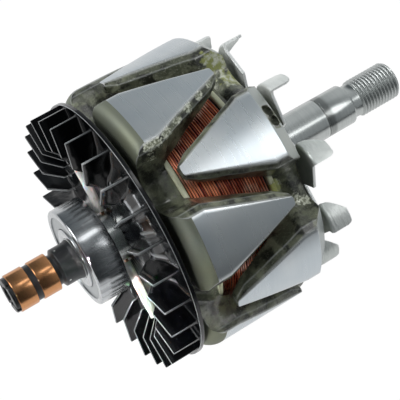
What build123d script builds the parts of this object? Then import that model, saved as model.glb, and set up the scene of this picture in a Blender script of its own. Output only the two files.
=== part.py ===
# Alternator rotor: claw poles, field coil, two fans, slip rings and a pressed-on rear bearing.
# Frame in millimetres: the shaft lies along X, its threaded drive end at +X, +Z is up.
# The origin is on the axis, at the shoulder where the drive-end bearing seats.

from build123d import *
import math
import os

os.makedirs("parts", exist_ok=True)

# Driving dimensions: shaft
SEAT_R = 8.5  # 17 mm bearing and pulley seats
BODY_R = 10.0  # knurled middle length that carries poles, coil and fans
STUB_R = 4.0  # rear stub inside the slip ring moulding
STEP_X = 28.8  # hairline groove between the bearing seat and the pulley seat
STEP_GROOVE_WIDTH = 0.6
STEP_GROOVE_DEPTH = 0.25
STEP_DROP = 0.06  # the pulley seat is this much smaller in radius
PULLEY_SEAT_LENGTH = 13.4
NECK_LENGTH = 3.9
NECK_R = 7.0
THREAD_R = 7.9
THREAD_LENGTH = 18.7
EDGE_BREAK = 0.6
CENTRE_HOLE_R = 1.6
CENTRE_HOLE_DEPTH = 5.0

# Driving dimensions: pole pieces
POLE_MID_X = -32.0  # plane halfway between the two pole pieces
CLAW_COUNT = 6
ROTOR_R = 55.3
COIL_SPACE_HALF = 16.5  # from the middle plane to each pole disc
DISC_FACE_HALF = 26.8  # from the middle plane to each outer disc face
LAND_HALF = 30.2  # from the middle plane to the raised centre land
LAND_R = 34.0
SHOULDER_HALF = 21.1  # where the turned face of a claw ends
CLAW_STRAIGHT_HALF = 15.8  # where the claw starts to narrow
CLAW_TIP_REACH = 15.9  # tip position beyond the middle plane
CLAW_ROOT_HALF_WIDTH = 13.3
CLAW_TIP_HALF_WIDTH = 2.0
CLAW_TIP_ROUND = 1.1
CLAW_CHAMFER_REACH = 2.06  # how far each flank stands out below its chamfer
CLAW_CHAMFER_ANGLE = 39.7  # degrees between the chamfer and the radius
CLAW_COIL_GAP = 0.6  # between the bobbin's flanges and the claws' roots
CLAW_TIP_THICKNESS = 4.9
VALLEY_R = 42.0
FORGING_ALLOWANCE = 1.0  # how far the claws stand out before they are turned
REAR_CLAW_ANGLE = 79.1  # first claw of the rear pole, from +Y towards +Z
BALANCE_HOLE_R = 2.4
BALANCE_HOLE_DEPTH = 8.0
BALANCE_HOLE_HALF = 24.0  # from the middle plane to the drill's axis
BALANCE_HOLE_OFFSETS = (-4.7, -0.2)  # degrees from the claw's centre line

# Driving dimensions: core, bobbin and coil
CORE_R = 26.0
BOBBIN_TUBE = 1.2
BOBBIN_FLANGE = 2.2
BOBBIN_FLANGE_R = 43.0
COIL_R = 42.0
PACK_GAP = 0.1  # between the bobbin and what it slides on

# Driving dimensions: rear fan
FAN_GAP_R = 0.1  # between both fans' bores and the shaft
FAN_FLANGE_R = 54.0
FAN_FLANGE_THICKNESS = 1.8
FAN_FLOOR = 4.1  # thickness of the hub floor inside the blades
FAN_FLOOR_R = 36.0
FAN_DISH_R = 46.0
BLADE_TOP = 13.0  # blade height over the pole land
BLADE_INNER_TOP = 6.9
BLADE_OUTER_R = 53.1
BLADE_BEND_R = 40.6
BLADE_INNER_R = 34.2
BLADE_THICKNESS = 1.0
BLADE_FIRST_ANGLE = -3.3
BLADE_COUNTS = (7, 5, 8, 7)  # blades in each group of equal pitch
BLADE_PITCH_ANGLES = (12.9, 13.54, 13.3, 13.66)

# Driving dimensions: drive-end fan
SHEET = 1.2
EAR_COUNT = 10
EAR_FIRST_ANGLE = 61.0
EAR_HEIGHT = 7.6
EAR_OUTER_R = 50.6
EAR_MID_IN = 2.6  # each place of the fan's outline is this much inside the outer end
EAR_MID_BACK = 11.0  # degrees behind the outer end
EAR_INNER_IN = 10.6
EAR_INNER_BACK = 19.0
EAR_SLOPE_HEIGHT = 3.2  # free edge height at the inner end
PETAL_OUT_IN = 8.1
PETAL_OUT_AHEAD = 14.0
NOTCH_IN = 15.6
NOTCH_AHEAD = 15.5

# Driving dimensions: rear bearing, a 17 x 40 x 12 mm deep groove ball bearing
BEARING_R = 20.0
BEARING_WIDTH = 12.0
BEARING_MID_X = -78.9
BALL_COUNT = 8
BALL_R = 3.3735
BALL_PITCH_R = 14.25
BALL_CLEARANCE = 0.05
RACE_R = 3.5
INNER_SHOULDER_IN = 2.0  # from the ball circle to the inner ring's shoulder
OUTER_SHOULDER_OUT = 1.95  # from the ball circle to the outer ring's shoulder
SHIELD_SEAT_STEP = 1.15
SHIELD_SEAT_DEPTH = 0.9
SHIELD_SHEET = 0.5
SHIELD_GAP = 0.2
BEARING_EDGE = 0.6
CAGE_HALF_WIDTH = 4.1
CAGE_WALL = 1.6
CAGE_POCKET_GAP = 0.1
RIVET_R = 0.45
RIVET_HEAD = 0.25

# Driving dimensions: slip rings and leads
RING_R = 7.65
RING_BORE_R = 6.3
RING_WIDTH = 7.4
RING_GAP = 2.3
MOULDING_END_X = -113.4
FIRST_RING_X = -111.8  # outer end of the outer ring
MOULDING_GROOVE_R = 7.1
NECK_GROOVE_R = 6.1
NECK_GROOVE_END_X = -93.0
COLLAR_X = -92.2
COLLAR_FLARE_X = -86.6
COLLAR_END_R = 8.2
END_SLOT_WIDTH = 1.6
END_SLOT_DEPTH = 2.2
LEG_WIDTH = 3.4
LEG_CLEARANCE = 0.1  # between a leg's corners and the bearing's bore
BAR_WIDTH = 2.2
BAR_BOTTOM_R = 4.4
BAR_TOP_R = 5.6
LEAD_ANGLES = (42.5, 216.0)
LEAD_X = -67.6  # centre plane of the radial lead sleeves
SLEEVE_R = 1.3
SLEEVE_START_R = 11.0
SLEEVE_END_R = 34.8
WIRE_R = 0.6
WIRE_RISE = 2.4  # from the sleeve's end to where the coil end runs along the shaft
WIRE_BEND_R = 2.0
LEAD_HOLE_R = 1.9

# Worked out from the driving dimensions
REAR_LAND_X = POLE_MID_X - LAND_HALF
FRONT_LAND_X = POLE_MID_X + LAND_HALF
BEARING_REAR_X = BEARING_MID_X - BEARING_WIDTH / 2
BEARING_FRONT_X = BEARING_MID_X + BEARING_WIDTH / 2
FIRST_RING_END_X = FIRST_RING_X + RING_WIDTH
SECOND_RING_X = FIRST_RING_END_X + RING_GAP
SECOND_RING_END_X = SECOND_RING_X + RING_WIDTH
PULLEY_SEAT_R = SEAT_R - STEP_DROP
NECK_X = STEP_X + PULLEY_SEAT_LENGTH
THREAD_X = NECK_X + NECK_LENGTH
SHAFT_END_X = THREAD_X + THREAD_LENGTH
STUB_X = MOULDING_END_X + EDGE_BREAK
COIL_HALF = COIL_SPACE_HALF - BOBBIN_FLANGE
BOBBIN_TUBE_R = CORE_R + PACK_GAP + BOBBIN_TUBE
FLANGE_FRONT_X = REAR_LAND_X - FAN_FLANGE_THICKNESS
FLOOR_X = REAR_LAND_X - FAN_FLOOR
CLAW_INNER_ROOT_R = BOBBIN_FLANGE_R + CLAW_COIL_GAP
CLAW_INNER_TIP_R = ROTOR_R - CLAW_TIP_THICKNESS
CLAW_PITCH = 360 / CLAW_COUNT
EAR_PITCH = 360 / EAR_COUNT
BALL_PITCH = 360 / BALL_COUNT
INNER_RACE_R = BALL_PITCH_R - BALL_R - BALL_CLEARANCE
OUTER_RACE_R = BALL_PITCH_R + BALL_R + BALL_CLEARANCE
INNER_SHOULDER_R = BALL_PITCH_R - INNER_SHOULDER_IN
OUTER_SHOULDER_R = BALL_PITCH_R + OUTER_SHOULDER_OUT
SHIELD_SEAT_R = OUTER_SHOULDER_R + SHIELD_SEAT_STEP
CAGE_IN_R = BALL_PITCH_R - CAGE_WALL / 2
WIRE_DROP_R = SLEEVE_END_R + WIRE_RISE
LEG_TOP_R = math.sqrt((SEAT_R - LEG_CLEARANCE) ** 2 - (LEG_WIDTH / 2) ** 2)
BAR_TAB_R = math.sqrt(RING_BORE_R**2 - (BAR_WIDTH / 2) ** 2)
HALF_BAR = (BAR_TOP_R - BAR_BOTTOM_R) / 2
EAR_INSET = SHEET * math.sqrt(2)  # the ears lie at about 45 degrees to the radius
EAR_BASE_X = FRONT_LAND_X + SHEET
EAR_MID_R = EAR_OUTER_R - EAR_MID_IN
EAR_INNER_R = EAR_OUTER_R - EAR_INNER_IN
PETAL_OUT_R = EAR_OUTER_R - PETAL_OUT_IN
NOTCH_R = EAR_OUTER_R - NOTCH_IN
FRONT_CLAW_ANGLE = REAR_CLAW_ANGLE + CLAW_PITCH / 2


def save(name, part):
    """Label a finished piece and write it as a STEP file."""
    part.label = name
    export_step(part, "parts/" + name + ".step")


def polar(radius, angle):
    """Point in the YZ plane at an angle in degrees from +Y towards +Z."""
    return (radius * math.cos(math.radians(angle)), radius * math.sin(math.radians(angle)))


def spin(part, angle):
    """Copy of a piece built towards +Z, turned about the shaft to an angle from +Y."""
    return part.rotate(Axis.X, angle - 90)


def radial_plane(x, radius, angle):
    """Plane square to the radius at an angle, at a place along the shaft."""
    y, z = polar(radius, angle)
    return Plane(origin=(x, y, z), x_dir=(1, 0, 0), z_dir=(0, y, z))


def turned(*points):
    """Solid of revolution about the shaft axis from (x, radius) points."""
    with BuildPart() as solid:
        with BuildSketch(Plane.XZ):
            with BuildLine():
                Polyline(*points, close=True)
            make_face()
        revolve(axis=Axis.X)
    return solid.part


def ring_solid(start, end, inner, outer):
    """Plain ring between two places along the shaft."""
    return turned((start, inner), (start, outer), (end, outer), (end, inner))


# Shaft: one turned bar, with two grooves under the bearing for the slip ring leads
with BuildPart() as shaft:
    add(
        turned(
            (STUB_X, 0),
            (STUB_X, STUB_R - EDGE_BREAK),
            (STUB_X + EDGE_BREAK, STUB_R),
            (BEARING_REAR_X, STUB_R),
            (BEARING_REAR_X, SEAT_R - EDGE_BREAK),
            (BEARING_REAR_X + EDGE_BREAK, SEAT_R),
            (BEARING_FRONT_X, SEAT_R),
            (BEARING_FRONT_X, BODY_R),
            (0, BODY_R),
            (0, SEAT_R),
            (STEP_X, SEAT_R),
            (STEP_X, SEAT_R - STEP_GROOVE_DEPTH),
            (STEP_X + STEP_GROOVE_WIDTH, SEAT_R - STEP_GROOVE_DEPTH),
            (STEP_X + STEP_GROOVE_WIDTH, PULLEY_SEAT_R),
            (NECK_X - EDGE_BREAK, PULLEY_SEAT_R),
            (NECK_X, PULLEY_SEAT_R - EDGE_BREAK),
            (NECK_X, NECK_R),
            (THREAD_X, NECK_R),
            (THREAD_X + THREAD_R - NECK_R, THREAD_R),
            (SHAFT_END_X - EDGE_BREAK, THREAD_R),
            (SHAFT_END_X, THREAD_R - EDGE_BREAK),
            (SHAFT_END_X, 0),
        )
    )
    with BuildSketch(Plane.YZ.offset(SHAFT_END_X)):
        Circle(CENTRE_HOLE_R)
    extrude(amount=-CENTRE_HOLE_DEPTH, mode=Mode.SUBTRACT)
    with BuildSketch(Plane.YZ.offset(STUB_X)):
        Circle(CENTRE_HOLE_R)
    extrude(amount=CENTRE_HOLE_DEPTH, mode=Mode.SUBTRACT)
    for angle in LEAD_ANGLES:
        with BuildSketch(radial_plane(BEARING_REAR_X, BODY_R, angle)):
            Rectangle(FLOOR_X - BEARING_REAR_X, LEG_WIDTH, align=(Align.MIN, Align.CENTER))
        extrude(amount=STUB_R - BODY_R, mode=Mode.SUBTRACT)
save("shaft", shaft.part)


# Claw poles: each is one forging with six claws, turned on the outside after assembly
def claw_outline(side, root, tip):
    """Claw seen along the radius, from its half widths; side is -1 rear, 1 front."""
    root_x = POLE_MID_X + side * LAND_HALF
    narrow_x = POLE_MID_X + side * CLAW_STRAIGHT_HALF
    tip_x = POLE_MID_X - side * CLAW_TIP_REACH
    nose_x = tip_x + side * CLAW_TIP_ROUND
    with BuildLine() as outline:
        Polyline((nose_x, tip), (narrow_x, root), (root_x, root))
        Line((root_x, root), (root_x, -root))
        Polyline((root_x, -root), (narrow_x, -root), (nose_x, -tip))
        flat = tip - CLAW_TIP_ROUND
        Polyline((nose_x, -tip), (tip_x, -flat), (tip_x, flat), (nose_x, tip))
    return outline.line


def chamfer_half_width(half_width, depth):
    """Half width between the two chamfers, this far below the top of the forging."""
    turned_edge = math.sqrt(ROTOR_R**2 - half_width**2)
    drop = ROTOR_R + FORGING_ALLOWANCE - depth - turned_edge
    return half_width - drop * math.tan(math.radians(CLAW_CHAMFER_ANGLE))


def claw(side):
    """One claw pointing up along +Z, cut to the turned outside and the hollow for the coil."""
    shoulder_x = POLE_MID_X + side * SHOULDER_HALF
    face_x = POLE_MID_X + side * DISC_FACE_HALF
    disc_x = POLE_MID_X + side * COIL_SPACE_HALF
    tip_x = POLE_MID_X - side * CLAW_TIP_REACH
    drop = DISC_FACE_HALF - SHOULDER_HALF
    top = ROTOR_R + FORGING_ALLOWANCE
    with BuildPart() as roof:
        for depth in (0, top - LAND_R):
            root = chamfer_half_width(CLAW_ROOT_HALF_WIDTH, depth)
            tip = chamfer_half_width(CLAW_TIP_HALF_WIDTH, depth)
            with BuildSketch(Plane.XY.offset(top - depth)):
                add(claw_outline(side, root, tip))
                make_face()
        loft(ruled=True)
    with BuildPart() as piece:
        root = CLAW_ROOT_HALF_WIDTH + CLAW_CHAMFER_REACH
        with BuildSketch(Plane.XY.offset(LAND_R)):
            add(claw_outline(side, root, CLAW_TIP_HALF_WIDTH + CLAW_CHAMFER_REACH))
            make_face()
        extrude(amount=top - LAND_R)
        add(roof.part, mode=Mode.INTERSECT)
        with BuildSketch(Plane.XZ):
            with BuildLine():
                Polyline((shoulder_x, ROTOR_R), (tip_x, ROTOR_R), (tip_x, CLAW_INNER_TIP_R))
                Polyline((tip_x, CLAW_INNER_TIP_R), (disc_x, CLAW_INNER_ROOT_R), (disc_x, LAND_R))
                Polyline((disc_x, LAND_R), (face_x, LAND_R), (face_x, ROTOR_R - drop))
                if side < 0:
                    RadiusArc((face_x, ROTOR_R - drop), (shoulder_x, ROTOR_R), drop)
                else:
                    Line((face_x, ROTOR_R - drop), (shoulder_x, ROTOR_R))
            make_face()
        revolve(axis=Axis.X, mode=Mode.INTERSECT)
    return piece.part


def pole_disc(side):
    """The disc of a pole piece, with its raised centre land and its bore for the shaft."""
    land_x = POLE_MID_X + side * LAND_HALF
    face_x = POLE_MID_X + side * DISC_FACE_HALF
    disc_x = POLE_MID_X + side * COIL_SPACE_HALF
    edge = VALLEY_R - LAND_R
    return turned(
        (land_x, BODY_R),
        (land_x, LAND_R),
        (face_x, LAND_R),
        (face_x, VALLEY_R - edge / 4),
        (face_x - side * edge / 4, VALLEY_R),
        (disc_x, VALLEY_R),
        (disc_x, BODY_R),
    )


rear_claw = claw(-1)
with BuildPart() as rear_pole_piece:
    add(pole_disc(-1))
    for index in range(CLAW_COUNT):
        add(spin(rear_claw, REAR_CLAW_ANGLE + index * CLAW_PITCH))
    for angle in LEAD_ANGLES:
        with BuildSketch(Plane.YZ.offset(REAR_LAND_X)):
            with Locations(polar(WIRE_DROP_R, angle)):
                Circle(LEAD_HOLE_R)
        extrude(amount=LAND_HALF - COIL_SPACE_HALF, mode=Mode.SUBTRACT)
save("rear_pole_piece", rear_pole_piece.part)

front_claw = claw(1)
with BuildPart() as front_pole_piece:
    add(pole_disc(1))
    for index in range(CLAW_COUNT):
        add(spin(front_claw, FRONT_CLAW_ANGLE + index * CLAW_PITCH))
    for offset_angle in BALANCE_HOLE_OFFSETS:
        drill_x = POLE_MID_X + BALANCE_HOLE_HALF
        with BuildSketch(radial_plane(drill_x, ROTOR_R, FRONT_CLAW_ANGLE + offset_angle)):
            Circle(BALANCE_HOLE_R)
        extrude(amount=-BALANCE_HOLE_DEPTH, mode=Mode.SUBTRACT)
save("front_pole_piece", front_pole_piece.part)

pole_core = turned(
    (POLE_MID_X - COIL_SPACE_HALF, BODY_R),
    (POLE_MID_X - COIL_SPACE_HALF, CORE_R),
    (POLE_MID_X + COIL_SPACE_HALF, CORE_R),
    (POLE_MID_X + COIL_SPACE_HALF, BODY_R),
)
save("pole_core", pole_core)


# Bobbin and winding: a moulded spool, its rear flange pierced for the two coil ends
with BuildPart() as coil_bobbin:
    add(
        turned(
            (POLE_MID_X - COIL_SPACE_HALF, CORE_R + PACK_GAP),
            (POLE_MID_X - COIL_SPACE_HALF, BOBBIN_FLANGE_R),
            (POLE_MID_X - COIL_HALF, BOBBIN_FLANGE_R),
            (POLE_MID_X - COIL_HALF, BOBBIN_TUBE_R),
            (POLE_MID_X + COIL_HALF, BOBBIN_TUBE_R),
            (POLE_MID_X + COIL_HALF, BOBBIN_FLANGE_R),
            (POLE_MID_X + COIL_SPACE_HALF, BOBBIN_FLANGE_R),
            (POLE_MID_X + COIL_SPACE_HALF, CORE_R + PACK_GAP),
        )
    )
    for angle in LEAD_ANGLES:
        with BuildSketch(Plane.YZ.offset(POLE_MID_X - COIL_SPACE_HALF)):
            with Locations(polar(WIRE_DROP_R, angle)):
                Circle(LEAD_HOLE_R)
        extrude(amount=BOBBIN_FLANGE, mode=Mode.SUBTRACT)
save("coil_bobbin", coil_bobbin.part)

field_coil = turned(
    (POLE_MID_X - COIL_HALF, BOBBIN_TUBE_R),
    (POLE_MID_X - COIL_HALF, COIL_R),
    (POLE_MID_X + COIL_HALF, COIL_R),
    (POLE_MID_X + COIL_HALF, BOBBIN_TUBE_R),
)
save("field_coil", field_coil)


# Rear fan: a moulded wheel with straight blades whose front edge slopes down to the hub
with BuildPart() as fan_blade:
    with BuildSketch(Plane.XZ):
        with BuildLine():
            Polyline(
                (REAR_LAND_X - FAN_FLANGE_THICKNESS / 2, BLADE_OUTER_R),
                (REAR_LAND_X - BLADE_TOP, BLADE_OUTER_R),
                (REAR_LAND_X - BLADE_TOP, BLADE_BEND_R),
                (REAR_LAND_X - BLADE_INNER_TOP, BLADE_INNER_R),
                (REAR_LAND_X - FAN_FLANGE_THICKNESS / 2, BLADE_INNER_R),
                close=True,
            )
        make_face()
    extrude(amount=BLADE_THICKNESS / 2, both=True)

blade_angles = [BLADE_FIRST_ANGLE]
for count, pitch in zip(BLADE_COUNTS, BLADE_PITCH_ANGLES):
    for index in range(count):
        blade_angles.append(blade_angles[-1] + pitch)
blade_angles.pop()  # the last one closes the circle on the first blade

with BuildPart() as rear_fan:
    add(
        turned(
            (REAR_LAND_X, BODY_R + FAN_GAP_R),
            (REAR_LAND_X, FAN_FLANGE_R),
            (FLANGE_FRONT_X, FAN_FLANGE_R),
            (FLANGE_FRONT_X, FAN_DISH_R),
            (FLOOR_X, FAN_FLOOR_R),
            (FLOOR_X, BODY_R + FAN_GAP_R),
        )
    )
    for angle in blade_angles:
        add(spin(fan_blade.part, angle))
    for angle in LEAD_ANGLES:
        with BuildSketch(Plane.YZ.offset(FLOOR_X)):
            with Locations(polar(WIRE_DROP_R, angle)):
                Circle(LEAD_HOLE_R)
        extrude(amount=FAN_FLOOR, mode=Mode.SUBTRACT)
save("rear_fan", rear_fan.part)


# Drive-end fan: a stamped disc whose petals carry curved ears bent up towards the drive end
def ear_arc(first_angle, inset):
    """Curve of one ear in the YZ plane, from its inner end to its outer end."""
    start = polar(EAR_INNER_R - inset, first_angle - EAR_INNER_BACK)
    middle = polar(EAR_MID_R - inset, first_angle - EAR_MID_BACK)
    end = polar(EAR_OUTER_R - inset, first_angle)
    return start, middle, end


with BuildPart() as ears:
    with BuildSketch(Plane.YZ.offset(FRONT_LAND_X)):
        for index in range(EAR_COUNT):
            at = EAR_FIRST_ANGLE + index * EAR_PITCH
            start, middle, end = ear_arc(at, 0)
            low, between, high = ear_arc(at, EAR_INSET)
            with BuildLine():
                ThreePointArc(start, middle, end)
                Line(end, high)
                ThreePointArc(high, between, low)
                Line(low, start)
            make_face()
    extrude(amount=SHEET + EAR_HEIGHT)
    add(
        turned(
            (FRONT_LAND_X, NOTCH_R),
            (EAR_BASE_X + EAR_SLOPE_HEIGHT, NOTCH_R),
            (EAR_BASE_X + EAR_SLOPE_HEIGHT, EAR_INNER_R),
            (EAR_BASE_X + EAR_HEIGHT, EAR_MID_R),
            (EAR_BASE_X + EAR_HEIGHT, EAR_OUTER_R + SHEET),
            (FRONT_LAND_X, EAR_OUTER_R + SHEET),
        ),
        mode=Mode.INTERSECT,
    )

with BuildPart() as front_fan:
    with BuildSketch(Plane.YZ.offset(FRONT_LAND_X)):
        with BuildLine():
            for index in range(EAR_COUNT):
                at = EAR_FIRST_ANGLE + index * EAR_PITCH
                start, middle, end = ear_arc(at, 0)
                following, _, _ = ear_arc(at + EAR_PITCH, 0)
                ThreePointArc(start, middle, end)
                Polyline(
                    end,
                    polar(PETAL_OUT_R, at + PETAL_OUT_AHEAD),
                    polar(NOTCH_R, at + NOTCH_AHEAD),
                    following,
                )
        make_face()
        Circle(BODY_R + FAN_GAP_R, mode=Mode.SUBTRACT)
    extrude(amount=SHEET)
    add(ears.part)
save("front_fan", front_fan.part)


# Rear bearing: two rings, eight balls between them, a two-piece cage and two shields
with BuildPart() as bearing_inner_ring:
    add(
        turned(
            (BEARING_REAR_X, SEAT_R + BEARING_EDGE),
            (BEARING_REAR_X, INNER_SHOULDER_R),
            (BEARING_FRONT_X, INNER_SHOULDER_R),
            (BEARING_FRONT_X, SEAT_R + BEARING_EDGE),
            (BEARING_FRONT_X - BEARING_EDGE, SEAT_R),
            (BEARING_REAR_X + BEARING_EDGE, SEAT_R),
        )
    )
    with BuildSketch(Plane.XZ):
        with Locations((BEARING_MID_X, INNER_RACE_R + RACE_R)):
            Circle(RACE_R)
    revolve(axis=Axis.X, mode=Mode.SUBTRACT)
save("bearing_inner_ring", bearing_inner_ring.part)

with BuildPart() as bearing_outer_ring:
    add(
        turned(
            (BEARING_REAR_X, SHIELD_SEAT_R),
            (BEARING_REAR_X, BEARING_R - BEARING_EDGE),
            (BEARING_REAR_X + BEARING_EDGE, BEARING_R),
            (BEARING_FRONT_X - BEARING_EDGE, BEARING_R),
            (BEARING_FRONT_X, BEARING_R - BEARING_EDGE),
            (BEARING_FRONT_X, SHIELD_SEAT_R),
            (BEARING_FRONT_X - SHIELD_SEAT_DEPTH, SHIELD_SEAT_R),
            (BEARING_FRONT_X - SHIELD_SEAT_DEPTH, OUTER_SHOULDER_R),
            (BEARING_REAR_X + SHIELD_SEAT_DEPTH, OUTER_SHOULDER_R),
            (BEARING_REAR_X + SHIELD_SEAT_DEPTH, SHIELD_SEAT_R),
        )
    )
    with BuildSketch(Plane.XZ):
        with Locations((BEARING_MID_X, OUTER_RACE_R - RACE_R)):
            Circle(RACE_R)
    revolve(axis=Axis.X, mode=Mode.SUBTRACT)
save("bearing_outer_ring", bearing_outer_ring.part)

for name, face_x, inward in (
    ("bearing_shield_rear", BEARING_REAR_X, 1),
    ("bearing_shield_front", BEARING_FRONT_X, -1),
):
    outer_x = face_x + inward * (SHIELD_SEAT_DEPTH - SHIELD_SHEET)
    inner_x = face_x + inward * SHIELD_SEAT_DEPTH
    shield = turned(
        (outer_x, INNER_SHOULDER_R + SHIELD_GAP),
        (outer_x, SHIELD_SEAT_R),
        (inner_x, SHIELD_SEAT_R),
        (inner_x, INNER_SHOULDER_R + SHIELD_GAP),
    )
    save(name, shield)

ball_centres = [polar(BALL_PITCH_R, index * BALL_PITCH) for index in range(BALL_COUNT)]
rivet_centres = [polar(BALL_PITCH_R, (index + 0.5) * BALL_PITCH) for index in range(BALL_COUNT)]
with BuildPart() as bearing_balls:
    with Locations(*[(BEARING_MID_X, y, z) for y, z in ball_centres]):
        Sphere(BALL_R)
save("bearing_balls", bearing_balls.part)

for name, outward in (("bearing_cage_rear", -1), ("bearing_cage_front", 1)):
    with BuildPart() as cage:
        with BuildSketch(Plane.YZ.offset(BEARING_MID_X)):
            Circle(CAGE_IN_R + CAGE_WALL)
            Circle(CAGE_IN_R, mode=Mode.SUBTRACT)
        extrude(amount=outward * CAGE_HALF_WIDTH)
        for index in range(BALL_COUNT):
            with BuildSketch(radial_plane(BEARING_MID_X, CAGE_IN_R - CAGE_WALL, index * BALL_PITCH)):
                Circle(BALL_R + CAGE_POCKET_GAP)
            extrude(amount=3 * CAGE_WALL, mode=Mode.SUBTRACT)
        with BuildSketch(Plane.YZ.offset(BEARING_MID_X)):
            with Locations(*rivet_centres):
                Circle(RIVET_R)
        extrude(amount=outward * CAGE_HALF_WIDTH, mode=Mode.SUBTRACT)
    save(name, cage.part)

with BuildPart() as bearing_cage_rivets:
    with BuildSketch(Plane.YZ.offset(BEARING_MID_X)):
        with Locations(*rivet_centres):
            Circle(RIVET_R)
    extrude(amount=CAGE_HALF_WIDTH + RIVET_HEAD, both=True)
save("bearing_cage_rivets", bearing_cage_rivets.part)


# Slip ring moulding: carries both copper rings and reaches under the bearing with two legs
def lead_bar(angle, ring_x):
    """Copper bar from a slip ring's bore, under the bearing, then out along the radius."""
    with BuildPart() as bar:
        with BuildSketch(Plane.XZ):
            with BuildLine():
                Polyline(
                    (ring_x, BAR_BOTTOM_R),
                    (LEAD_X + HALF_BAR, BAR_BOTTOM_R),
                    (LEAD_X + HALF_BAR, SLEEVE_START_R),
                    (LEAD_X - HALF_BAR, SLEEVE_START_R),
                    (LEAD_X - HALF_BAR, BAR_TOP_R),
                    (ring_x + BAR_WIDTH, BAR_TOP_R),
                    (ring_x + BAR_WIDTH, BAR_TAB_R),
                    (ring_x, BAR_TAB_R),
                    close=True,
                )
            make_face()
        extrude(amount=BAR_WIDTH / 2, both=True)
    return spin(bar.part, angle)


ring_tab_xs = (SECOND_RING_X + RING_WIDTH / 2, FIRST_RING_X + RING_WIDTH / 2)
lead_bars = [lead_bar(angle, tab_x) for angle, tab_x in zip(LEAD_ANGLES, ring_tab_xs)]

with BuildPart() as slip_ring_moulding:
    add(
        turned(
            (MOULDING_END_X, STUB_R),
            (MOULDING_END_X, MOULDING_GROOVE_R - EDGE_BREAK),
            (MOULDING_END_X + EDGE_BREAK, MOULDING_GROOVE_R),
            (FIRST_RING_X, MOULDING_GROOVE_R),
            (FIRST_RING_X, RING_BORE_R),
            (FIRST_RING_END_X, RING_BORE_R),
            (FIRST_RING_END_X, MOULDING_GROOVE_R),
            (SECOND_RING_X, MOULDING_GROOVE_R),
            (SECOND_RING_X, RING_BORE_R),
            (SECOND_RING_END_X, RING_BORE_R),
            (SECOND_RING_END_X, NECK_GROOVE_R),
            (NECK_GROOVE_END_X, NECK_GROOVE_R),
            (COLLAR_X, RING_R),
            (COLLAR_FLARE_X, RING_R),
            (BEARING_REAR_X, COLLAR_END_R),
            (BEARING_REAR_X, STUB_R),
        )
    )
    for angle in LEAD_ANGLES:
        with BuildSketch(radial_plane(BEARING_REAR_X, STUB_R, angle)):
            Rectangle(FLOOR_X - BEARING_REAR_X, LEG_WIDTH, align=(Align.MIN, Align.CENTER))
        extrude(amount=LEG_TOP_R - STUB_R)
    with BuildSketch(Plane.YZ.offset(MOULDING_END_X)):
        Rectangle(2 * RING_R, END_SLOT_WIDTH)
        Rectangle(END_SLOT_WIDTH, 2 * RING_R)
    extrude(amount=END_SLOT_DEPTH, mode=Mode.SUBTRACT)
    for bar in lead_bars:
        add(bar, mode=Mode.SUBTRACT)
save("slip_ring_moulding", slip_ring_moulding.part)

for name, ring_x in (("slip_ring_outer", FIRST_RING_X), ("slip_ring_inner", SECOND_RING_X)):
    save(name, ring_solid(ring_x, ring_x + RING_WIDTH, RING_BORE_R, RING_R))

# Leads: a copper bar from each ring, then the coil's own wire in an insulating sleeve
for number, angle in enumerate(LEAD_ANGLES, start=1):
    save(f"slip_ring_bar_{number}", lead_bars[number - 1])
    with BuildPart() as sleeve:
        with BuildSketch(Plane.XY.offset(SLEEVE_START_R)):
            with Locations((LEAD_X, 0)):
                Circle(SLEEVE_R)
                Circle(WIRE_R, mode=Mode.SUBTRACT)
        extrude(amount=SLEEVE_END_R - SLEEVE_START_R)
    save(f"lead_sleeve_{number}", spin(sleeve.part, angle))
    with BuildPart() as wire:
        with BuildLine(Plane.XZ) as route:
            FilletPolyline(
                (LEAD_X, SLEEVE_START_R),
                (LEAD_X, WIRE_DROP_R),
                (POLE_MID_X - COIL_HALF, WIRE_DROP_R),
                radius=WIRE_BEND_R,
            )
        with BuildSketch(Plane.XY.offset(SLEEVE_START_R)):
            with Locations((LEAD_X, 0)):
                Circle(WIRE_R)
        sweep(path=route.line)
    save(f"coil_end_{number}", spin(wire.part, angle))
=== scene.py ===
"""Looks of an alternator rotor: fine meshes, finishes, light and camera.

Pieces are worked out in millimetres in the part's own frame and stored in metres: the shaft
lies along X with its threaded drive end at +X, +Z is up, and the origin is on the axis at the
shoulder where the drive-end bearing seats. Angles about the shaft run from +Y towards +Z.
"""

import logging
import math
from dataclasses import dataclass
from enum import Enum
from typing import Any, Callable, Iterable, Sequence

import bmesh
import bpy
import numpy as np
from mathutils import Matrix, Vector, noise


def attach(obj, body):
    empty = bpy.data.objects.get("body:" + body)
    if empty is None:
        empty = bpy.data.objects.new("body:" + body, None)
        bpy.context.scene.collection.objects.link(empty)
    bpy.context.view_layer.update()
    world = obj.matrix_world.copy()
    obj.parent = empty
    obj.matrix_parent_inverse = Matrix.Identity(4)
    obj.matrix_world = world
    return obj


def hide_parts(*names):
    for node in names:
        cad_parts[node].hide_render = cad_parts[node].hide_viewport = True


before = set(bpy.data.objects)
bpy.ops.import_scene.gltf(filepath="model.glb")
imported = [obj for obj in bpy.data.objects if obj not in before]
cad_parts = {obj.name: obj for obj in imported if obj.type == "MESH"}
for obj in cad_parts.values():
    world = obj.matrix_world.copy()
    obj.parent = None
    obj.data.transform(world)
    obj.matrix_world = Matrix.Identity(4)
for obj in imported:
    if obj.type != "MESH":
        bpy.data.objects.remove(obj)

LOG = logging.getLogger("rotor")
MM = 0.001  # metres in a millimetre
NOISE_SEED = 7  # without one the ripples start from the clock and differ each time
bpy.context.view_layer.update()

# Sizes and places that several sub-assemblies share, in millimetres
ROTOR_MIDDLE = -32.0  # plane between the two pole pieces
CLAW_R = 55.3
COIL_TUBE_R = 27.3  # outside of the bobbin's tube, inside of the winding
SEAT_R = 8.5  # both bearing seats
BODY_R = 10.0  # the length that carries the pole pieces and fans
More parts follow.
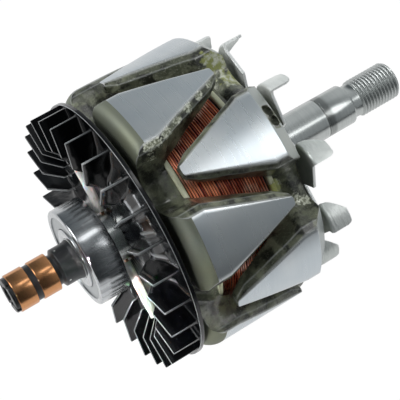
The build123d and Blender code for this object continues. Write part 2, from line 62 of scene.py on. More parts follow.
STUB_R = 4.0  # the rear end, inside the slip rings' moulding
FAN_GAP = 0.1  # between both fans' bores and the shaft
BEARING_MIDDLE = -78.9
BEARING_WIDTH = 12.0
BEARING_REAR = BEARING_MIDDLE - BEARING_WIDTH / 2
BEARING_FRONT = BEARING_MIDDLE + BEARING_WIDTH / 2

Point = tuple[float, float, float]
Corner = tuple[float, float, float]  # place along the shaft, radius, fillet
Spot = tuple[float, float, float, float]  # sideways, up, turned, edge paint for wear and painted highlight
Pool = tuple[float, float, float, float]  # place along the shaft, radius, angle, size

# Pools of set varnish on the forgings and the bobbin
VARNISH_POOLS: tuple[Pool, ...] = (
    (-10.0, 48.5, 66.5, 8.0),
    (-7.0, 44.0, 75.0, 6.0),
    (-16.0, 43.0, 136.0, 4.0),
    (-10.0, 46.0, 159.0, 4.0),
)
# Pale crusts of dried varnish along chamfers and valleys
CRUSTS: tuple[Pool, ...] = (
    (-52.5, 54.0, 94.4, 3.0),
    (-49.0, 54.0, 94.4, 3.0),
    (-44.0, 54.2, 92.9, 3.2),
    (-38.0, 54.2, 90.5, 2.8),
    (-32.0, 54.2, 88.1, 2.8),
    (-26.0, 54.2, 85.8, 2.6),
    (-20.0, 54.2, 83.3, 2.4),
    (-52.5, 49.0, 96.0, 2.6),
    (-52.5, 47.0, 124.0, 3.0),
    (-46.0, 46.0, 127.0, 2.4),
    (-10.5, 44.0, 146.0, 3.0),
    (-7.5, 44.0, 150.0, 3.4),
    (-54.0, 45.0, 168.0, 3.0),
)


class Body(Enum):
    """Bodies of the frame that pieces ride on."""

    ROTOR = "rotor"
    BEARING_OUTER = "bearing_outer"
    BEARING_CAGE = "bearing_cage"


class Mask(Enum):
    """Painted values that a mesh carries for its finish."""

    TURNED = "turned"  # 1 where the lathe has cut
    WORN = "worn"  # 1 on an edge painted pale: partly rubbed bright, partly a painted highlight
    VARNISH = "varnish"  # 1 in the middle of a pool of set varnish
    CRUST = "crust"  # 1 where varnish dried to a pale crust


def srgb(code: str) -> tuple[float, float, float, float]:
    """Turn a six-digit sRGB hex code into the linear colour that shaders take.

    Args:
        code: Hex digits, such as "8E9AA3".

    Returns:
        Linear red, green, blue and an alpha of 1.
    """
    linear = []
    for start in (0, 2, 4):
        value = int(code[start : start + 2], 16) / 255
        linear.append(value / 12.92 if value <= 0.04045 else ((value + 0.055) / 1.055) ** 2.4)
    return (linear[0], linear[1], linear[2], 1.0)


def polar(radius: float, angle: float) -> tuple[float, float]:
    """Return (y, z) at a radius and an angle in degrees from +Y towards +Z."""
    return radius * math.cos(math.radians(angle)), radius * math.sin(math.radians(angle))


def around(x: float, radius: float, angle: float) -> Point:
    """Return the point at a place along the shaft, a radius and an angle in degrees."""
    y, z = polar(radius, angle)
    return (x, y, z)


def clamp(share: float) -> float:
    """Return a share held between 0 and 1."""
    return min(max(share, 0.0), 1.0)


def smooth(share: float) -> float:
    """Return a share that starts and ends gently."""
    return share * share * (3 - 2 * share)


def swing(spoke: Vector, turn: float) -> Vector:
    """Return a flat vector turned by an angle in radians."""
    cos, sin = math.cos(turn), math.sin(turn)
    return Vector((spoke.x * cos - spoke.y * sin, spoke.x * sin + spoke.y * cos))


def rounded(corners: Sequence[Corner], steps: int = 4) -> list[tuple[float, float]]:
    """Round the corners of a closed profile.

    Args:
        corners: The profile's corners, in order.
        steps: Straight runs in each fillet.

    Returns:
        The (x, radius) points of the rounded profile.
    """
    points: list[tuple[float, float]] = []
    for index, (x, radius, fillet) in enumerate(corners):
        here = Vector((x, radius))
        if fillet <= 0:
            points.append((x, radius))
            continue
        back = Vector(corners[index - 1][:2]) - here
        ahead = Vector(corners[(index + 1) % len(corners)][:2]) - here
        half = back.angle(ahead) / 2
        # no fillet takes more than about half of a side
        reach = min(fillet / math.tan(half), 0.49 * back.length, 0.49 * ahead.length)
        middle = (back.normalized() + ahead.normalized()).normalized()
        centre = here + middle * (reach * math.tan(half) / math.sin(half))
        first = here + back.normalized() * reach - centre
        last = here + ahead.normalized() * reach - centre
        sweep = first.angle_signed(last)
        points += [tuple(centre + swing(first, -sweep * step / steps)) for step in range(steps + 1)]
    return points


class Shape:
    """Points, faces and painted masks of a piece while it is built, in millimetres."""

    def __init__(self) -> None:
        """Start with nothing."""
        self.points: list[Point] = []
        self.faces: list[tuple[int, ...]] = []
        self.masks: dict[Mask, list[float]] = {mask: [] for mask in Mask}
        self.slots: list[int] = []

    def add_points(
        self,
        points: Iterable[Sequence[float]],
        turned: Sequence[float] | float = 0.0,
        worn: Sequence[float] | float = 0.0,
    ) -> range:
        """Add points and their masks.

        Args:
            points: Places in millimetres.
            turned: One value, or one for each point.
            worn: One value, or one for each point.

        Returns:
            Indices of the new points.
        """
        start = len(self.points)
        self.points += [tuple(float(value) for value in point) for point in points]
        fresh = range(start, len(self.points))
        for mask, values in self.masks.items():
            value = {Mask.TURNED: turned, Mask.WORN: worn}.get(mask, 0.0)
            values.extend([float(value)] * len(fresh) if isinstance(value, (int, float)) else value)
        return fresh

    def add_faces(self, faces: Iterable[tuple[int, ...]], slot: int = 0) -> None:
        """Add faces that take the material in a slot."""
        before = len(self.faces)
        self.faces.extend(faces)
        self.slots.extend([slot] * (len(self.faces) - before))

    def bridge(self, first: Sequence[int], second: Sequence[int], closed: bool = True, slot: int = 0) -> None:
        """Join two rows of points of the same length with quads."""
        count = len(first)
        pairs = [(i, (i + 1) % count) for i in range(count if closed else count - 1)]
        self.add_faces(((first[i], first[k], second[k], second[i]) for i, k in pairs), slot)

    def bridge_all(self, rows: Sequence[Sequence[int]], closed: bool = True, slot: int = 0) -> None:
        """Join each row to the next one."""
        for first, second in zip(rows, rows[1:]):
            self.bridge(first, second, closed, slot)

    def carry(self, row: Sequence[int], x: float, radius: float, worn: float = 0.0) -> range:
        """Join a row that goes round the shaft to a copy of it elsewhere.

        Args:
            row: Indices of the row's points.
            x: Place of the copy along the shaft.
            radius: Radius of the copy's points.
            worn: How pale the copy's edge is painted, for wear and as a highlight.

        Returns:
            Indices of the copy's points.
        """
        points = []
        for index in row:
            _, y, z = self.points[index]
            size = math.hypot(y, z)
            points.append((x, y * radius / size, z * radius / size))
        fresh = self.add_points(points, 0.0, worn)
        self.bridge(row, fresh)
        return fresh

    def loft(
        self,
        rows: Sequence[Sequence[Sequence[float]]],
        closed: bool = True,
        looped: bool = False,
        capped: bool = False,
        turned: float = 0.0,
        slot: int = 0,
    ) -> None:
        """Skin rows of points that follow each other.

        Args:
            rows: Rows of places, all of the same length.
            closed: Whether each row closes on itself.
            looped: Whether the last row joins the first.
            capped: Whether the first and last rows are filled.
            turned: Lathe mask of every point.
            slot: Material slot of the faces.
        """
        indices = [self.add_points(row, turned) for row in rows]
        self.bridge_all(indices, closed, slot)
        if looped:
            self.bridge(indices[-1], indices[0], closed, slot)
        if capped:
            self.add_faces([tuple(reversed(indices[0])), tuple(indices[-1])], slot)

    def revolve(
        self,
        profile: Sequence[tuple[float, float]],
        segments: int,
        slot: int = 0,
    ) -> None:
        """Turn a closed (x, radius) profile about the shaft's axis.

        Args:
            profile: Its points, in order.
            segments: Flats round the shaft.
            slot: Material slot of the faces.
        """
        rows = [
            [around(x, radius, 360 * step / segments) for x, radius in profile]
            for step in range(segments)
        ]
        self.loft(rows, looped=True, slot=slot)

    def tube(
        self,
        path: Sequence[Sequence[float]],
        radius: float,
        sides: int,
    ) -> None:
        """Skin a round bar with closed ends along a path of places.

        Args:
            path: Places along the middle of the bar.
            radius: Radius of the bar.
            sides: Flats round the bar.
        """
        line = np.asarray(path, float)
        along = np.gradient(line, axis=0)
        along /= np.linalg.norm(along, axis=1)[:, None]
        lead = np.array((0.83, 0.31, 0.46))  # any direction that isn't the path's
        rows = []
        for place, way in zip(line, along):
            side = lead - way * way.dot(lead)
            side /= np.linalg.norm(side)
            lead = side
            up = np.cross(way, side)
            angles = np.linspace(0, 2 * np.pi, sides, endpoint=False)
            rows.append(place + radius * (np.cos(angles)[:, None] * side + np.sin(angles)[:, None] * up))
        self.loft(rows, capped=True)

    def peg(
        self,
        foot: Vector,
        out: Vector,
        stations: Sequence[tuple[float, float]],
        sides: int,
        turned: float = 0.0,
    ) -> None:
        """Skin a round peg that stands square to the shaft.

        Args:
            foot: Place that its stations are measured from.
            out: Direction of its axis.
            stations: (radius, height) of each of its circles, from the bottom.
            sides: Flats round the peg.
            turned: Lathe mask of every point.
        """
        along = Vector((1, 0, 0))
        across = out.cross(along)
        rows = []
        for radius, height in stations:
            angles = [2 * math.pi * step / sides for step in range(sides)]
            spokes = [along * math.cos(turn) + across * math.sin(turn) for turn in angles]
            rows.append([foot + out * height + spoke * radius for spoke in spokes])
        self.loft(rows, capped=True, turned=turned)

    def ripple(self, size: float, depth: float, keep: Callable[[int], float]) -> None:
        """Move each point a little by smooth noise.

        Args:
            size: Distance between the noise's bumps.
            depth: Furthest move.
            keep: Share of the move that a point takes, by its index.
        """
        for index, point in enumerate(self.points):
            share = keep(index)
            if share > 0:
                move = noise.noise_vector(Vector(point) / size) * (depth * share)
                self.points[index] = tuple(Vector(point) + move)

    def pour(self, pools: Iterable[Pool], mask: Mask = Mask.VARNISH) -> None:
        """Paint pools of set varnish.

        Args:
            pools: The pools, which fade out a little past their size.
            mask: The mask that they are painted in.
        """
        places = np.asarray(self.points)
        depth = np.zeros(len(places))
        for x, radius, angle, size in pools:
            gap = np.linalg.norm(places - np.asarray(around(x, radius, angle)), axis=1) / size
            depth = np.maximum(depth, np.clip(1.25 - gap, 0.0, 1.0))
        self.masks[mask] = depth.tolist()

    def to_mesh(self, name: str, sharp: float) -> bpy.types.Mesh:
        """Make the Blender mesh.

        Args:
            name: Name of the mesh.
            sharp: Angle in degrees above which an edge is shaded sharp.

        Returns:
            A closed, welded mesh in metres with its masks as attributes.
        """
        mesh = bpy.data.meshes.new(name)
        mesh.from_pydata([tuple(value * MM for value in point) for point in self.points], [], self.faces)
        for mask, values in self.masks.items():
            layer = mesh.attributes.new(mask.value, "FLOAT", "POINT")
            layer.data.foreach_set("value", np.asarray(values, np.float32))
        mesh.polygons.foreach_set("material_index", np.asarray(self.slots, np.int32))
        work = bmesh.new()
        work.from_mesh(mesh)
        bmesh.ops.remove_doubles(work, verts=work.verts, dist=0.002 * MM)
        bmesh.ops.dissolve_degenerate(work, edges=work.edges, dist=0.001 * MM)
        bmesh.ops.recalc_face_normals(work, faces=work.faces)
        work.to_mesh(mesh)
        work.free()
        mesh.shade_smooth()
        mesh.set_sharp_from_angle(angle=math.radians(sharp))
        return mesh


def place(
    name: str,
    shape: Shape,
    materials: Sequence[bpy.types.Material],
    nodes: Sequence[str],
    slot: str,
    body: Body = Body.ROTOR,
    sharp: float = 32.0,
) -> bpy.types.Object:
    """Put a finished piece in the scene, on its body, in place of its CAD nodes.

    Args:
        name: Name of the piece.
        shape: Its points and faces.
        materials: Its finishes, in slot order.
        nodes: CAD nodes that it stands for.
        slot: Not used.
        body: Body that it rides on.
        sharp: Angle in degrees above which an edge is shaded sharp.

    Returns:
        The new object.
    """
    mesh = shape.to_mesh(name, sharp)
    for material in materials:
        mesh.materials.append(material)
    piece = bpy.data.objects.new(name, mesh)
    bpy.context.scene.collection.objects.link(piece)
    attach(piece, body.value)
    if nodes:
        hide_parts(*nodes)
    LOG.info("%s: %d faces", name, len(mesh.polygons))
    return piece


def per_mm(size: float) -> float:
    """Return the scale of a pattern whose marks are a size in millimetres apart."""
    return 1 / (size * MM)


class Node(Enum):
    """Kinds of node: Blender's type, its settings, the sockets that take values, and the output."""

    PLACE = ("TexCoord", {}, (), "Object")
    WAY = ("TexCoord", {}, (), "Generated")
    MASK = ("Attribute", {}, (), "Fac")
    AXES = ("SeparateXYZ", {}, (0,), 0)
    STRETCH = ("Mapping", {}, ("Vector", "Scale"), 0)
    NOISE = ("TexNoise", {}, ("Vector", "Scale", "Detail", "Distortion"), 0)
    CELLS = ("TexVoronoi", {}, ("Vector", "Scale"), "Distance")
    ADD = ("Math", {"operation": "ADD"}, (0, 1), 0)
    MULTIPLY = ("Math", {"operation": "MULTIPLY"}, (0, 1), 0)
    RAMP = ("MapRange", {"interpolation_type": "SMOOTHSTEP"}, (0, 1, 2), 0)
    MIX = ("Mix", {"data_type": "RGBA"}, (0, 6, 7), 2)
    BLEND = ("Mix", {"data_type": "FLOAT"}, (0, 2, 3), 0)
    BUMP = ("Bump", {}, ("Height", "Distance"), 0)
    ROUND = ("Tangent", {"direction_type": "RADIAL", "axis": "X"}, (), 0)
    SURFACE = ("BsdfPrincipled", {}, (), 0)
    PAPER = ("BsdfDiffuse", {}, ("Color", "Roughness"), 0)
    GLOW = ("Emission", {}, ("Color", "Strength"), 0)
    SHARE = ("MixShader", {}, (0, 1, 2), 0)
    RAY = ("LightPath", {}, (), "Is Camera Ray")
    BACKGROUND = ("Background", {}, ("Color", "Strength"), 0)
    OUTPUT = ("OutputMaterial", {}, ("Surface",), 0)
    WORLD = ("OutputWorld", {}, ("Surface",), 0)


class Graph:
    """Node graph of one material or world."""

    def __init__(self, owner: bpy.types.Material | bpy.types.World) -> None:
        """Clear the owner's nodes.

        Args:
            owner: The material or world whose nodes are built.
        """
        owner.use_nodes = True
        self.tree = owner.node_tree
        self.tree.nodes.clear()

    def add(self, kind: Node, *values: Any, out: int | str | None = None, **named: Any) -> Any:
        """Add a node with its settings, and set or link its inputs.

        Args:
            kind: What the node does.
            *values: Number, colour or link for each of the kind's usual sockets, in order.
            out: Output that is returned, where it isn't the kind's usual one.
            **named: Settings of the node, or values for other sockets, underscores for spaces.

        Returns:
            The output socket, or None where the node has none.
        """
        type_name, settings, sockets, usual = kind.value
        node = self.tree.nodes.new("ShaderNode" + type_name)
        inputs = dict(zip(sockets, values))
        for name, value in (settings | named).items():
            if hasattr(node, name):
                setattr(node, name, value)
            else:
                inputs[name.replace("_", " ")] = value
        for key, value in inputs.items():
            if isinstance(value, bpy.types.NodeSocket):
                self.tree.links.new(value, node.inputs[key])
            else:
                node.inputs[key].default_value = value
        return node.outputs[usual if out is None else out] if node.outputs else None


def new_material(name: str) -> tuple[bpy.types.Material, Callable[..., Any]]:
    """Make an empty material, and return it with what adds nodes to it."""
    material = bpy.data.materials.new(name)
    return material, Graph(material).add


@dataclass(frozen=True)
class ClawSteel:
    """Low-carbon steel forging, dipped in varnish, then turned bright on the outside.

    The turned faces give a brushed mirror whose lines run round the shaft; everywhere else the eye
    gets dark olive, uneven and half glossy, with pale grains where the varnish pooled and dried.
    Edges marked on the mesh are painted pale: partly rubbed metal, partly a painted highlight line.
    """

    name: str = "varnished_forged_steel"
    turned: str = "CFD4D6"
    shade: str = "BFC7CC"
    line_colour: str = "9FA6AB"
    deep: str = "22241C"
    olive: str = "4F5343"
    pale: str = "7D816B"
    grain: str = "B4B8A2"
    skin: str = "797E71"
    pool: str = "9AA05A"
    crust: str = "D6D9C6"
    # pale edge colour: rubbed metal, and a painted highlight line along the claws' edges
    rubbed_and_shine: str = "D8DBDB"
    lathe_line: float = 0.8  # real lines are about 0.1 mm apart, coarsened to show at all
    cloud_size: float = 22.0  # soft shades of the turned faces
    patch_size: float = 7.0  # thick and thin varnish
    soot_size: float = 5.0
    pool_edge: float = 3.2  # ragged rims of the pools
    crust_size: float = 2.6  # pale islands in a pool
    fleck: float = 0.9  # flakes of dried varnish
    scale_size: float = 2.4  # pits that the forging scale left
    grit: float = 0.7

    def build(self) -> bpy.types.Material:
        """Return the material."""
        material, add = new_material(self.name)
        where = add(Node.PLACE)
        cut = add(Node.MASK, attribute_name=Mask.TURNED.value)
        satin = add(Node.RAMP, cut, 0.12, 0.38)
        turned = add(Node.RAMP, cut, 0.5, 0.95)
        worn = add(Node.MASK, attribute_name=Mask.WORN.value)
        lines = add(Node.NOISE, add(Node.STRETCH, where, (1.0, 0.04, 0.04)), per_mm(self.lathe_line), 1.0)
        cloud = add(Node.RAMP, add(Node.NOISE, where, per_mm(self.cloud_size), 2.0), 0.35, 0.7)
        bright = add(Node.MIX, cloud, srgb(self.shade), srgb(self.turned))
        bright = add(Node.MIX, add(Node.MULTIPLY, lines, 0.15), bright, srgb(self.line_colour))

        dry = add(Node.RAMP, add(Node.NOISE, where, per_mm(self.patch_size), 4.0, 0.5), 0.42, 0.66)
        soot = add(Node.RAMP, add(Node.NOISE, where, per_mm(self.soot_size), 5.0), 0.46, 0.62)
        grain = add(Node.RAMP, add(Node.NOISE, where, per_mm(self.grit), 8.0), 0.52, 0.74)
        forged = add(Node.MIX, dry, srgb(self.olive), srgb(self.pale))
        forged = add(Node.MIX, soot, forged, srgb(self.deep))
        forged = add(Node.MIX, add(Node.MULTIPLY, grain, 0.18), forged, srgb(self.grain))

        ragged = add(Node.MULTIPLY, add(Node.NOISE, where, per_mm(self.pool_edge), 6.0), 2.0)
        pooled = add(Node.ADD, add(Node.MASK, attribute_name=Mask.VARNISH.value), ragged)
        pooled = add(Node.MULTIPLY, add(Node.RAMP, pooled, 1.45, 1.75), 0.85)
        islands = add(Node.RAMP, add(Node.NOISE, where, per_mm(self.crust_size), 6.0), 0.44, 0.60)
        resin = add(Node.MIX, islands, srgb(self.pool), srgb(self.crust))
        forged = add(Node.MIX, pooled, forged, resin)

        flecks = add(Node.NOISE, where, per_mm(self.fleck), 4.0)
        dried = add(Node.MASK, attribute_name=Mask.CRUST.value)
        dried = add(Node.RAMP, add(Node.ADD, dried, add(Node.MULTIPLY, flecks, 1.2)), 1.05, 1.35)
        flakes = add(Node.MIX, add(Node.RAMP, flecks, 0.42, 0.62), srgb(self.pale), srgb(self.crust))
        forged = add(Node.MIX, dried, forged, flakes)
        skin = add(Node.MIX, satin, forged, add(Node.MIX, cloud, srgb(self.skin), srgb(self.pale)))
        colour = add(Node.MIX, turned, skin, bright)

        pits = add(Node.NOISE, where, per_mm(self.scale_size), 5.0)
        relief = add(Node.BLEND, satin, add(Node.ADD, pits, add(Node.MULTIPLY, grain, 0.4)), 0.0)
        relief = add(Node.BLEND, turned, relief, add(Node.MULTIPLY, lines, 0.0025))
        dull = add(Node.BLEND, satin, 0.34, 0.55)
        # marked edges take the pale colour, a painted highlight as well as wear
        surface = add(
            Node.SURFACE,
            Base_Color=add(Node.MIX, add(Node.MULTIPLY, worn, 0.75), colour, srgb(self.rubbed_and_shine)),
            Metallic=add(Node.BLEND, turned, add(Node.BLEND, satin, 0.25, 0.5), 1.0),
            Roughness=add(Node.BLEND, turned, dull, add(Node.BLEND, lines, 0.26, 0.30)),
            Anisotropic=0.5,
            Tangent=add(Node.ROUND),
            Coat_Weight=add(Node.BLEND, satin, 0.8, 0.0),
            Coat_Roughness=0.14,
            Normal=add(Node.BUMP, relief, 0.3 * MM),
        )
        add(Node.OUTPUT, surface)
        return material


@dataclass(frozen=True)
class RoundSteel:
    """Ground or turned metal whose fine lines run round the shaft.

    Light stretches across the lines into long soft streaks; marks along the piece show as fine
    lengthwise bands. Listed stretches are painted darker, for stains and for the shade in a groove,
    and marked edges take a pale painted highlight.
    """

    name: str
    colour: str = "B4B6B8"
    streak: str = "7F8284"
    roughness: float = 0.22
    line: float = 0.5  # real grinding lines are finer, coarsened to show
    contrast: float = 0.4
    bands: float = 0.0  # strength of the lengthwise bands
    stains: tuple[tuple[float, float, float, float, str], ...] = ()  # start, end, fade in mm, share, colour
    rubbed_and_shine: str = "E6E8E9"
    rolled_roughness: float = 0.38  # of a rolled thread
    band_size: float = 1.6
    stain_patch: float = 4.0
    stain_start: float = 0.1  # length over which a stain sets in

    def build(self) -> bpy.types.Material:
        """Return the material."""
        material, add = new_material(self.name)
        where = add(Node.PLACE)
        lines = add(Node.NOISE, add(Node.STRETCH, where, (1.0, 0.02, 0.02)), per_mm(self.line), 4.0)
        bands = add(Node.NOISE, add(Node.STRETCH, where, (0.06, 1.0, 1.0)), per_mm(self.band_size), 4.0)
        colour = add(Node.MIX, add(Node.MULTIPLY, lines, self.contrast), srgb(self.colour), srgb(self.streak))
        banded = add(Node.MULTIPLY, add(Node.RAMP, bands, 0.42, 0.66), self.bands)
        colour = add(Node.MIX, banded, colour, srgb(self.streak))
        along = add(Node.AXES, where)
        for start, end, fade, share, code in self.stains:
            rise = add(Node.RAMP, along, start * MM, (start + self.stain_start) * MM)
            fall = add(Node.RAMP, along, end * MM, (end - fade) * MM)
            patch = add(Node.NOISE, where, per_mm(self.stain_patch), 2.0)
            patchy = add(Node.RAMP, patch, 0.62 - share, 0.72 - share)
            stain = add(Node.MULTIPLY, add(Node.MULTIPLY, add(Node.MULTIPLY, rise, fall), patchy), share)
            colour = add(Node.MIX, stain, colour, srgb(code))
        # painted highlight: marked edges, such as the shaft's thread crests, take the pale colour
        worn = add(Node.MULTIPLY, add(Node.MASK, attribute_name=Mask.WORN.value), 0.7)
        rolled = add(Node.MASK, attribute_name=Mask.TURNED.value)
        rough = add(Node.BLEND, bands, self.roughness * 0.75, self.roughness * 1.3)
        surface = add(
            Node.SURFACE,
            Base_Color=add(Node.MIX, worn, colour, srgb(self.rubbed_and_shine)),
            Metallic=1.0,
            Roughness=add(Node.BLEND, rolled, rough, self.rolled_roughness),
            Anisotropic=0.5,
            Tangent=add(Node.ROUND),
            Normal=add(Node.BUMP, add(Node.BLEND, rolled, lines, 0.0), 0.01 * MM),
        )
        add(Node.OUTPUT, surface)
        return material


@dataclass(frozen=True)
class ZincSheet:
    """Pressed mild steel sheet with bright zinc plating.

    The eye gets a pale grey-green sheen, wavy from the press, and sheared edges painted white, partly as a
    highlight.
    """

    name: str = "zinc_plated_pressed_steel"
    dull: str = "D0D6D2"
    bright: str = "EFF2EF"
    rubbed_and_shine: str = "EEF0EF"
    cloud_size: float = 14.0
    wave: float = 1.5  # marks that the press left

    def build(self) -> bpy.types.Material:
        """Return the material."""
        material, add = new_material(self.name)
        where = add(Node.PLACE)
        cloud = add(Node.NOISE, where, per_mm(self.cloud_size), 4.0)
        ripple = add(Node.NOISE, add(Node.STRETCH, where, (1.0, 0.3, 0.3)), per_mm(self.wave), 4.0, 0.6)
        colour = add(Node.MIX, add(Node.RAMP, cloud, 0.25, 0.75), srgb(self.dull), srgb(self.bright))
        # painted highlight: the ears' free edges and the sheared edge take the pale colour
        worn = add(Node.MULTIPLY, add(Node.MASK, attribute_name=Mask.WORN.value), 0.8)
        surface = add(
            Node.SURFACE,
            Base_Color=add(Node.MIX, worn, colour, srgb(self.rubbed_and_shine)),
            Metallic=0.45,
            Roughness=add(Node.BLEND, cloud, 0.28, 0.46),
            Normal=add(Node.BUMP, ripple, 0.3 * MM),
        )
        add(Node.OUTPUT, surface)
        return material


@dataclass(frozen=True)
class MouldedPlastic:
    """Injection-moulded plastic.

    Its skin is smooth with slow sink marks; edges marked on the mesh are painted pale as a
    highlight, and varnish that ran onto it has set in amber-green drops.
    """

    name: str
    colour: str
    edge: str
    roughness: float
    wave: float = 9.0  # distance between the skin's soft sink marks
    depth: float = 0.06
    sheen: float = 0.0
    resin: str = "A9AC62"
    dust_size: float = 1.1
    drop_edge: float = 1.5  # ragged rims of the set drops

    def build(self) -> bpy.types.Material:
        """Return the material."""
        material, add = new_material(self.name)
        where = add(Node.PLACE)
        skin = add(Node.NOISE, where, per_mm(self.wave), 2.0)
        dust = add(Node.RAMP, add(Node.NOISE, where, per_mm(self.dust_size), 5.0), 0.62, 0.78)
        colour = add(Node.MIX, add(Node.MULTIPLY, dust, 0.03), srgb(self.colour), srgb(self.edge))
        # painted highlight: marked edges take the pale edge colour
        worn = add(Node.MULTIPLY, add(Node.MASK, attribute_name=Mask.WORN.value), 0.85)
        colour = add(Node.MIX, worn, colour, srgb(self.edge))
        pooled = add(Node.MASK, attribute_name=Mask.VARNISH.value)
        ragged = add(Node.MULTIPLY, add(Node.NOISE, where, per_mm(self.drop_edge), 5.0), 2.0)
        drops = add(Node.RAMP, add(Node.ADD, pooled, ragged), 1.5, 1.75)
        surface = add(
            Node.SURFACE,
            Base_Color=add(Node.MIX, drops, colour, srgb(self.resin)),
            Roughness=add(Node.BLEND, skin, self.roughness * 0.7, self.roughness * 1.3),
            Coat_Weight=self.sheen,
            Coat_Roughness=0.08,
            Normal=add(Node.BUMP, add(Node.ADD, skin, add(Node.MULTIPLY, drops, 2.0)), self.depth * MM),
        )
        add(Node.OUTPUT, surface)
        return material


@dataclass(frozen=True)
class EnamelledWire:
    """Copper magnet wire drawn bright and baked in amber enamel.

    Each turn has a bright orange-red streak along its crown, and no two turns are quite alike;
    pale pink patches are a painted highlight.
    """

    name: str = "enamelled_copper_wire"
    dark: str = "963016"
    light: str = "FA9C72"
    painted_highlight: str = "FFD2BA"
    turn_size: float = 1.4  # a turn is 0.86 mm thick, so its shade runs on over one or two
    cloud_size: float = 9.0
    nick: float = 0.8  # small dents along a turn

    def build(self) -> bpy.types.Material:
        """Return the material."""
        material, add = new_material(self.name)
        where = add(Node.PLACE)
        turn = add(Node.NOISE, add(Node.STRETCH, where, (1.0, 0.05, 0.05)), per_mm(self.turn_size), 3.0)
        cloud = add(Node.NOISE, where, per_mm(self.cloud_size), 3.0)
        colour = add(Node.MIX, add(Node.RAMP, turn, 0.40, 0.62), srgb(self.dark), srgb(self.light))
        # painted highlight: pale pink patches laid by slow noise
        colour = add(Node.MIX, add(Node.RAMP, cloud, 0.5, 0.75), colour, srgb(self.painted_highlight))
        surface = add(
            Node.SURFACE,
            Base_Color=colour,
            Metallic=0.8,
            Roughness=add(Node.BLEND, turn, 0.2, 0.36),
            Coat_Weight=0.8,
            Coat_Roughness=0.1,
            Normal=add(Node.BUMP, add(Node.NOISE, where, per_mm(self.nick), 3.0), 0.04 * MM),
        )
        add(Node.OUTPUT, surface)
        return material


@dataclass(frozen=True)
class VarnishedBraid:
    """Woven glass-fibre sleeve, soaked in varnish at its ends.

    The eye gets off-white threads in a fine lattice, olive where the varnish wicked in.
    """

    name: str = "varnished_glass_braid"
    clean: str = "FAF9F3"
    stained: str = "C4C5B0"
    thread: float = 0.55  # a thread bundle's width in mm
    stain_size: float = 5.0

    def build(self) -> bpy.types.Material:
        """Return the material."""
        material, add = new_material(self.name)
        where = add(Node.PLACE)
        weave = add(Node.CELLS, where, per_mm(self.thread))
        stain = add(Node.RAMP, add(Node.NOISE, where, per_mm(self.stain_size), 4.0), 0.54, 0.72)
        surface = add(
            Node.SURFACE,
            Base_Color=add(Node.MIX, stain, srgb(self.clean), srgb(self.stained)),
            Roughness=0.42,
            Subsurface_Weight=0.15,
            Subsurface_Scale=0.8 * MM,
            Coat_Weight=0.4,
            Coat_Roughness=0.2,
            Normal=add(Node.BUMP, weave, 0.16 * MM),
        )
        add(Node.OUTPUT, surface)
        return material


@dataclass(frozen=True)
class Finishes:
    """The rotor's materials, made once and shared by its pieces."""

    claw_steel: bpy.types.Material
    shaft_steel: bpy.types.Material
    bearing_steel: bpy.types.Material
    shield_steel: bpy.types.Material
    core_steel: bpy.types.Material
    copper: bpy.types.Material
    fan_nylon: bpy.types.Material
    carrier_plastic: bpy.types.Material
    bobbin_nylon: bpy.types.Material
    wire_copper: bpy.types.Material
    gap_shade_wire: bpy.types.Material
    zinc: bpy.types.Material
    braid: bpy.types.Material
    tinned: bpy.types.Material


def make_finishes() -> Finishes:
    """Return every material of the rotor."""
    # painted shade: a dark line in the relief groove
    groove_shade = (28.72, 29.42, 0.1, 0.6, "2C2926")
    oiled = (29.5, 33.0, 1.6, 0.42, "2E2F2C")
    return Finishes(
        claw_steel=ClawSteel().build(),
        shaft_steel=RoundSteel(
            "ground_shaft_steel", "C3C7C5", roughness=0.215, contrast=0.5, stains=(groove_shade, oiled)
        ).build(),
        bearing_steel=RoundSteel("ground_bearing_steel", "BDC0C2", "8B8E91", 0.17, 0.7, 0.3, 0.5).build(),
        shield_steel=RoundSteel("pressed_shield_steel", "A9ADAE", "7B7F81", 0.3, 0.9, 0.3).build(),
        core_steel=RoundSteel("turned_core_steel", "8A8C8C", "66686A", 0.35).build(),
        copper=RoundSteel("turned_slip_ring_copper", "D29A6C", "B27B50", 0.2, 0.8, 0.5, 0.15).build(),
        fan_nylon=MouldedPlastic("glossy_black_nylon", "07080A", "CDD2D4", 0.13, 7.0, 0.16).build(),
        carrier_plastic=MouldedPlastic("satin_black_phenolic", "16181A", "53575A", 0.36, 5.0, 0.08).build(),
        bobbin_nylon=MouldedPlastic("cream_bobbin_nylon", "D6D8B9", "F0F0DC", 0.42, 4.0, 0.2, 0.3).build(),
        wire_copper=EnamelledWire().build(),
        # painted shade: a dark copy of the wire under the turns, seen in the gaps between them
        gap_shade_wire=EnamelledWire("painted_shade_wire", "1C0D08", "3A1A10", "4A2414").build(),
        zinc=ZincSheet().build(),
        braid=VarnishedBraid().build(),
        tinned=RoundSteel("tinned_wire_end", "D5D7D4", "9A9C94", 0.2, 0.9, 0.6).build(),
    )


def dress(node: str, material: bpy.types.Material) -> None:
    """Give a carried-over CAD node its finish.

    Args:
        node: Name of the node.
        material: Its finish.
    """
    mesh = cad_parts[node].data
    mesh.materials.clear()
    mesh.materials.append(material)
    LOG.info("%s: carried over in %s", node, material.name)


